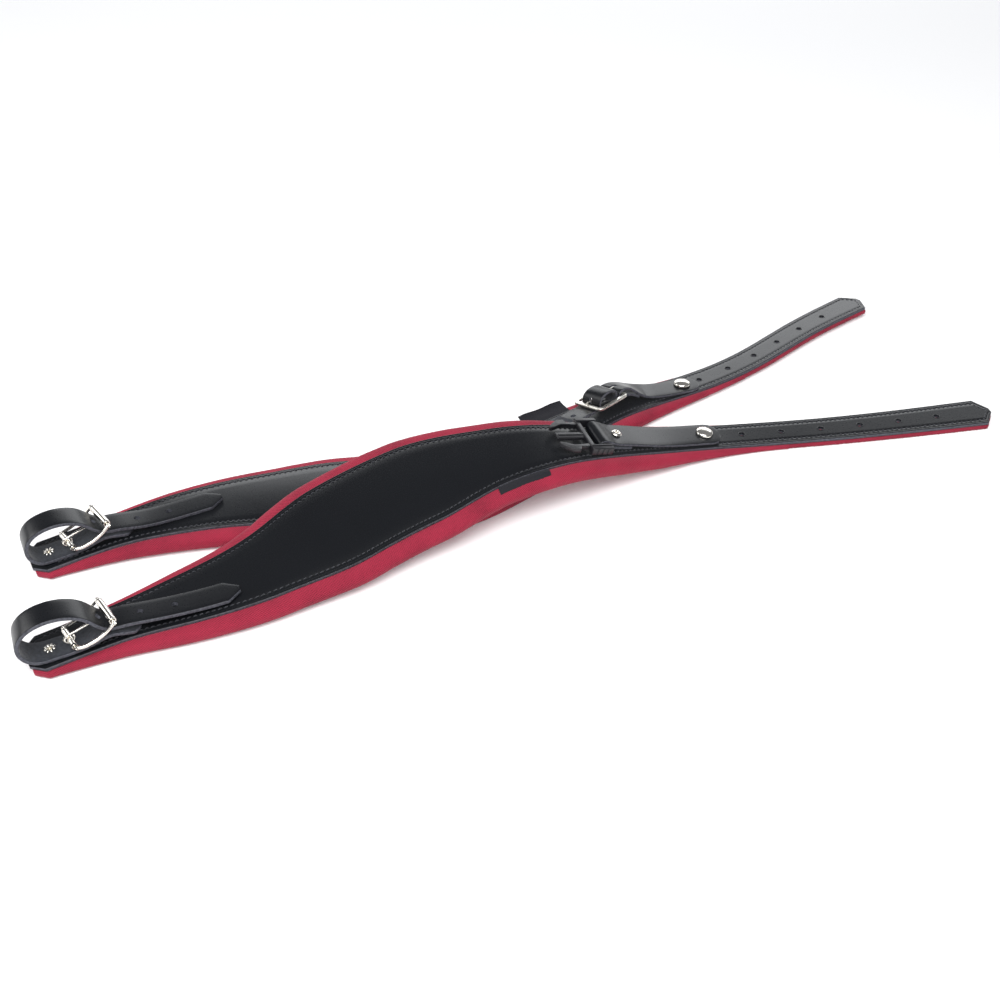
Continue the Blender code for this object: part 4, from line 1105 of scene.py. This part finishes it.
def back_bar():
    route, place = ROUTE["far"], frame_place()
    centre = place @ Vector((FRAME_LENGTH, 0, 0))
    s = route.nearest(centre.x, centre.y)
    origin, along, across, out = route.axes(s)
    gap, way = np.array(centre) - origin, np.array(place.col[0][:3])
    s += gap @ along
    return s, gap @ across, (way @ across) / (way @ along), gap @ out - lean("far", s)[1]


def far_tab_course(s):
    bar_at, bar_shift, bar_slope, _ = BACK_BAR
    start, straight = bar_at + 0.004, SNAP_AT["far"] - 0.015
    slopes = bar_slope, math.tan(math.radians(FAR_TAB_SWING))
    ends = bar_shift + 0.004 * bar_slope, SNAP_SHIFT["far"] - 0.015 * slopes[1]
    if s < start:
        return ends[0] + slopes[0] * (s - start), math.atan(slopes[0])
    if s > straight:
        return ends[1] + slopes[1] * (s - straight), math.atan(slopes[1])
    length = straight - start
    u = (s - start) / length
    slope = 6 * (ends[1] - ends[0]) / length * (u - u**2)
    slope += slopes[0] * (3 * u**2 - 4 * u + 1) + slopes[1] * (3 * u**2 - 2 * u)
    return hermite(ends, slopes, length, u), math.atan(slope)


def lean(side, s):
    """Angle by which the far frame and its leather are tipped up, and how far it lifts them."""
    if side == "near":
        return 0.0, 0.0
    share = 1.0
    for way in ((s - LEAN_FROM[0]) / LEAN_FROM[1], (LEAN_TO[0] - s) / LEAN_TO[1]):
        u = min(max(way, 0.0), 1.0)
        share *= u * u * (3 - 2 * u)
    angle = math.radians(FRAME_LEAN) * share
    return angle, LEAN_LIFT * math.sin(angle)


def blunt_end(u, total):
    """Well rounded corners on a nearly straight end."""
    left = min(1.0, (total - u) / 0.0105)
    return max(0.10, (1 - (1 - left) ** 2.5) ** (1 / 2.5))


def strip_on_strap(name, side, course, run, half, end=blunt_end):
    """Fine version of a strip given as (s, n) points over a strap's face."""
    route = ROUTE[side]
    coarse = [route.point(s, course(s)[0], n + lean(side, s)[1]) for s, n in run]
    chord = run_length(coarse)
    curve = natural_spline(chord, [(*place, s) for place, (s, _) in zip(coarse, run)])
    total, stops = chord[-1], []
    for u in [0, *stations(0.0006, total - 0.0125, 0.0010),
              *(total - 0.012 * np.cos(np.linspace(0.12, 1.56, 26)))]:
        *place, s = curve(u)
        tangent = central(curve, u, total)
        _, along, right, out = route.axes(s)
        angle, tip = course(s)[1], lean(side, s)[0]
        across = Vector(right * math.cos(angle) - along * math.sin(angle))
        across = across * math.cos(tip) + Vector(out) * math.sin(tip)
        across = (across - tangent * across.dot(tangent)).normalized()
        stops.append((Vector(place), tangent, across, half * end(u, total)))
    return strip(name, stops, TAB_LEATHER)


BACK_BAR = back_bar()


def near_tab():
    low = TOP + 0.0009 + TAB_LEATHER / 2
    run = [(0.416, low), (0.410, low), (0.402, low + 0.0002)]
    run += arc(CLIP_BAR, BAR_HALF + GAP + TAB_LEATHER / 2 + 0.0006, 285, 75, 7)
    run += [(0.402, low + 0.0036), (0.410, low + 0.0027), (0.420, low + 0.0022)]
    run += [(0.432, low + 0.0012), (0.446, low + 0.0003), (0.460, low), (0.476, low)]
    run += [(SNAP_AT["near"], low), (TAB_END["near"], low)]
    tab = strip_on_strap("near_tab", "near", lambda s: (0.0, 0.0), run, TAB_HALF["near"])
    rivet_at = ROUTE["near"].matrix(TAB_RIVET_AT)
    punch(tab, [snap_place("near")], 0.02)
    punch(tab, [rivet_at], 0.03)
    settle(tab, "near_back_strap", "black_leather", "near_back_tab")
    high = low + 0.0036 + TAB_LEATHER / 2 + GAP
    foot = low - TAB_LEATHER / 2 - GAP
    head = [(0.0011, 0.0006), (0.0013, 0.00105), (0.0018, 0.00125), (0.0025, 0.0011),
            (0.0032, 0.0006), (0.0036, 0.0001), (0.0034, 0), (0.0016, 0)]
    flange = [(0.0016, 0), (0.0027, 0), (0.0028, -0.0003), (0.0026, -0.0005), (0.0011, -0.0005)]
    outline = [(r, high + z) for r, z in head] + [(r, foot + z) for r, z in flange]
    rivet = turned("near_eyelet", outline, NICKEL, rivet_at)
    settle(rivet, "near_back_strap", "nickel", "near_tab_rivet")


def side_release_plug():
    place = ROUTE["near"].matrix(CLIP_BAR[0], 0.0, CLIP_BAR[1])
    base = rounded_box("near_plug", (-12, 5), (-16.8, -12.6), (-3.3, 2.6), 0.7, place)
    parts = [
        ("far_block", (-12, 5), (12.6, 16.8), (-3.3, 2.6), 0.7),
        ("rear_bar", BAR, (-13.5, 13.5), BAR, 0.4),
        ("front_bar", (-12.1, -8.6), (-13.5, 13.5), (-1.8, 2.2), 0.5),
        ("tongue", (-33, -11), (-3, 3), (-1.2, 1.2), 0.4),
        ("tongue_rib", (-31.8, -11), (-0.6, 0.6), (0.6, 1.9), 0.3),
    ]
    for way in (-1, 1):
        grip, rim = sorted((way * 16, way * 17.3)), sorted((way * 12.7, way * 14))
        parts += [("grip", (x - 0.7, x + 0.7), grip, (-2.6, 1.9), 0.3) for x in (-7.2, -3.2, 0.8)]
        parts.append(("rim", (-11.7, 4.6), rim, (2, 3.3), 0.3))
    combine(base, [rounded_box(*part, place) for part in parts], "UNION", 35)
    settle(base, "near_back_strap", "black_plastic", "near_clip_base")
    arm = [(0.0, 0.0016), (-0.0071, 0.0016), (-0.0085, 0.0047), (-0.0130, 0.0043),
           (-0.0185, 0.0010), (-0.0221, -0.0026), (-0.0216, -0.0040), (-0.0185, -0.0034),
           (-0.0125, -0.0008), (-0.0065, -0.0008), (0.0, -0.0016)]
    for name, body, way in (("near_clip_arm_left", "near_left_arm", 1),
                            ("near_clip_arm_right", "near_right_arm", -1)):
        root = place @ Matrix.Translation((CLIP_ARM_ROOT, way * CLIP_ARM_SPREAD, 0.0002))
        outline = [(x, way * y) for x, y in eased(arm, 0.0006)][::way]
        piece = plate(name.replace("clip_arm", "barb"), [outline], 0.0034, 0.0004, PLASTIC, root)
        settle(piece, body, "black_plastic", name)


def eased(outline, radius, count=3):
    """Rounds every corner of a closed polygon."""
    points = [np.asarray(p, float) for p in outline]
    made = []
    for i, here in enumerate(points):
        before, after = points[i - 1], points[(i + 1) % len(points)]
        a, b = before - here, after - here
        la, lb = np.linalg.norm(a), np.linalg.norm(b)
        cut = min(radius, la * 0.4, lb * 0.4)
        start, end = here + a / la * cut, here + b / lb * cut
        for j in range(count + 1):
            u = j / count
            made.append(tuple((1 - u) ** 2 * start + 2 * u * (1 - u) * here + u * u * end))
    return made


def rounded_rectangle(x0, x1, half, radius, count=9):
    x0, x1, half = x0 + radius, x1 - radius, half - radius
    corners = ((x1, half), (x0, half), (x0, -half), (x1, -half))
    return [point for i, corner in enumerate(corners)
            for point in arc(corner, radius, 90 * i, 90 * (i + 1), count)]


def far_tab():
    bar_at, _, _, bar_n = BACK_BAR
    low = bar_n - FOLD_RADIUS
    run = [(0.449, low - 0.0010), (0.443, low - 0.0005), (0.4365, low)]
    run += arc((bar_at, bar_n), FOLD_RADIUS, 280, 80, 7)
    run += [(0.4385, 0.0105), (0.4470, 0.0074), (0.4580, 0.0053), (0.4700, 0.0045)]
    run += [(SNAP_AT["far"], TOP + 0.0016), (TAB_END["far"], TOP + 0.0017)]
    tab = strip_on_strap("far_tab", "far", far_tab_course, run, TAB_HALF["far"])
    punch(tab, [snap_place("far")], 0.02)
    slot = rounded_box("slot", (-6, 3.5), (-1.5, 1.5), (-4.8, 6), 0.4,
                       frame_place() @ Matrix.Translation((FRAME_LENGTH, 0, 0)), EDGE)
    combine(tab, [slot], "DIFFERENCE")
    settle(tab, "far_back_strap", "black_leather", "far_back_tab")


def frame_buckle():
    half = FRAME_BAR / 2
    outline = rounded_rectangle(-half, FRAME_LENGTH + half, 0.0146, 0.0040, 14)
    window = rounded_rectangle(half, FRAME_LENGTH - half, 0.0114, 0.0015)
    buckle = plate("far_frame", [outline, window], 0.0020, 0.00062, SATIN_NICKEL, frame_place())
    settle(buckle, "far_back_strap", "nickel", "far_back_buckle_frame")
    ring = math.hypot(half, 0.0010) + GAP + PRONG_RADIUS
    points = arc((0, 0), ring, 80 - 290, 80, 31)
    tongue, (x, y) = FRAME_LENGTH + 0.0022, points[-1]
    points += [(x - tongue * share, y + (PRONG_REST - ring) * share)
               for share in (0.15, 0.3, 0.45, 0.65, 0.8, 0.9, 0.97, 1.0)]
    place = frame_place() @ Matrix.Translation((FRAME_LENGTH, 0, 0))
    prong = wire_prong("far_frame_prong", points, (0.6, 0.9, 0.8, 0.45), SATIN_NICKEL,
                       place @ Matrix.Rotation(math.pi / 2, 4, "X"))
    settle(prong, "far_back_prong", "nickel", "far_back_buckle_prong")


def far_belt():
    low = 0.0043
    run = [(0.3820, 0.0067), (0.3745, 0.0074), (0.3665, 0.0098)]
    run += arc(SOCKET_BAR, 0.0032, 75, 285, 7)
    run += [(0.3665, low), (0.3760, low - 0.0001), (0.3860, low), (0.3970, low)]
    run += arc((FRAME_FRONT_AT + 0.0007, low + 0.0031), 0.0031, 270, 350, 4)
    run += [(0.4082, 0.0105), (0.4105, 0.0140), (0.4162, 0.0158), (0.4219, 0.0143)]
    run += [(0.4241, 0.0111), (0.4244, 0.0085), (0.4245, 0.0060), (0.4245, 0.0046)]
    belt = strip_on_strap("far_short_belt", "far", far_belt_course, run, BELT_HALF,
                          end=lambda u, total: 1.0)
    hole_at = 0.389
    shift, angle = far_belt_course(hole_at)
    tip, lift = lean("far", hole_at)
    hole = ROUTE["far"].matrix(hole_at, shift, low + lift, -angle)
    punch(belt, [hole @ Matrix.Rotation(-tip, 4, "X")], 0.006)
    slot = rounded_box("slot", (-1, FRAME_LENGTH / MM - 1), (-1.3, 1.3), (0.8, 4.9), 0.4,
                       frame_place(), EDGE)
    combine(belt, [slot], "DIFFERENCE")
    settle(belt, "far_back_strap", "black_leather", "far_back_belt")


def side_release_socket():
    shift, angle = far_belt_course(SOCKET_BAR[0])
    place = ROUTE["far"].matrix(SOCKET_BAR[0], shift, SOCKET_BAR[1], -angle)
    socket = rounded_box("far_socket", (-44, -6.8), (-16.5, 16.5), (-4.2, 4), 1.3, place,
                         segments=4)
    added = [("rail_left", (-9, 2), (10, 13.5), (-2.5, 2.5), 0.6),
             ("rail_right", (-9, 2), (-13.5, -10), (-2.5, 2.5), 0.6),
             ("bar", BAR, (-12, 12), BAR, 0.4)]
    combine(socket, [rounded_box(*part, place) for part in added], "UNION", 35)
    cut = [("mouth", (-50, -10), (-14, 14), (-2.6, 2.6), 0.6),
           ("windows", (-33, -20), (-20, 20), (-2.6, 2.6), 0.6)]
    combine(socket, [rounded_box(*part, place) for part in cut], "DIFFERENCE", 35)
    settle(socket, "far_back_strap", "black_plastic", "far_clip_socket")


# ---------------------------------------------------------------- studio

def area_light(name, place, target, size, power, shadow=True, colour=(1, 1, 1)):
    light = bpy.data.lights.new(name, "AREA")
    light.shape = "RECTANGLE"
    light.size, light.size_y = size
    light.energy = power
    light.color = colour
    light.use_shadow = shadow
    made = add(name, light)
    made.location = place
    made.rotation_euler = (Vector(target) - Vector(place)).to_track_quat("-Z", "Y").to_euler()


def studio():
    bpy.ops.mesh.primitive_plane_add(size=1)
    floor = bpy.context.object
    floor.name = "floor"
    floor.scale = (9, 9, 1)
    floor.location = (0, 0.8, -0.0002)
    white = (0.90, 0.90, 0.905)
    paper = Look("paper_floor", white, 0.85, Specular_IOR_Level=0.15)
    cloud = paper.noise(paper.coordinates(), 6.0, 2.0)
    paper.drive("Base Color", paper.ramp(cloud, (0.2, white), (0.8, (0.93, 0.93, 0.93))))
    floor.data.materials.append(paper.material)
    world = bpy.data.worlds.new("studio")
    bpy.context.scene.world = world
    world.use_nodes = True
    background = world.node_tree.nodes["Background"]
    background.inputs["Color"].default_value = (0.95, 0.96, 1.0, 1)
    background.inputs["Strength"].default_value = 0.23
    area_light("overhead", (-0.1, -1.0, 1.65), (0, 0.05, 0), (1.9, 1.1), 50)
    area_light("back", (0.4, 2.5, 0.98), (0.3, 0.1, 0.0), (3.4, 1.15), 35, False, (0.96, 0.98, 1.0))
    area_light("front", (-0.3, -2.3, 1.5), (0, 0, 0), (1.6, 1.0), 12, False)
    area_light("left", (-1.9, 0.2, 0.9), (-0.1, 0, 0), (1.2, 1.0), 10)


def camera():
    data = bpy.data.cameras.new("camera")
    data.lens = 45.3
    data.sensor_width = 36
    made = add("camera", data)
    made.location = (-0.0295, -0.7304, 0.531)
    made.rotation_euler = (math.radians(90 - 38), 0, 0)
    bpy.context.scene.camera = made
    bpy.context.scene.view_settings.view_transform = "Standard"


def main():
    camera()
    studio()
    for side in ROUTE:
        for build in (leather_body, stitching, pad_cover, foam_core, tail_lining, adjusting_belt,
                      belt_rivet, roller_buckle, label, snap):
            build(side)
    for build in (near_tab, side_release_plug, far_tab, frame_buckle, far_belt,
                  side_release_socket):
        build()


main()
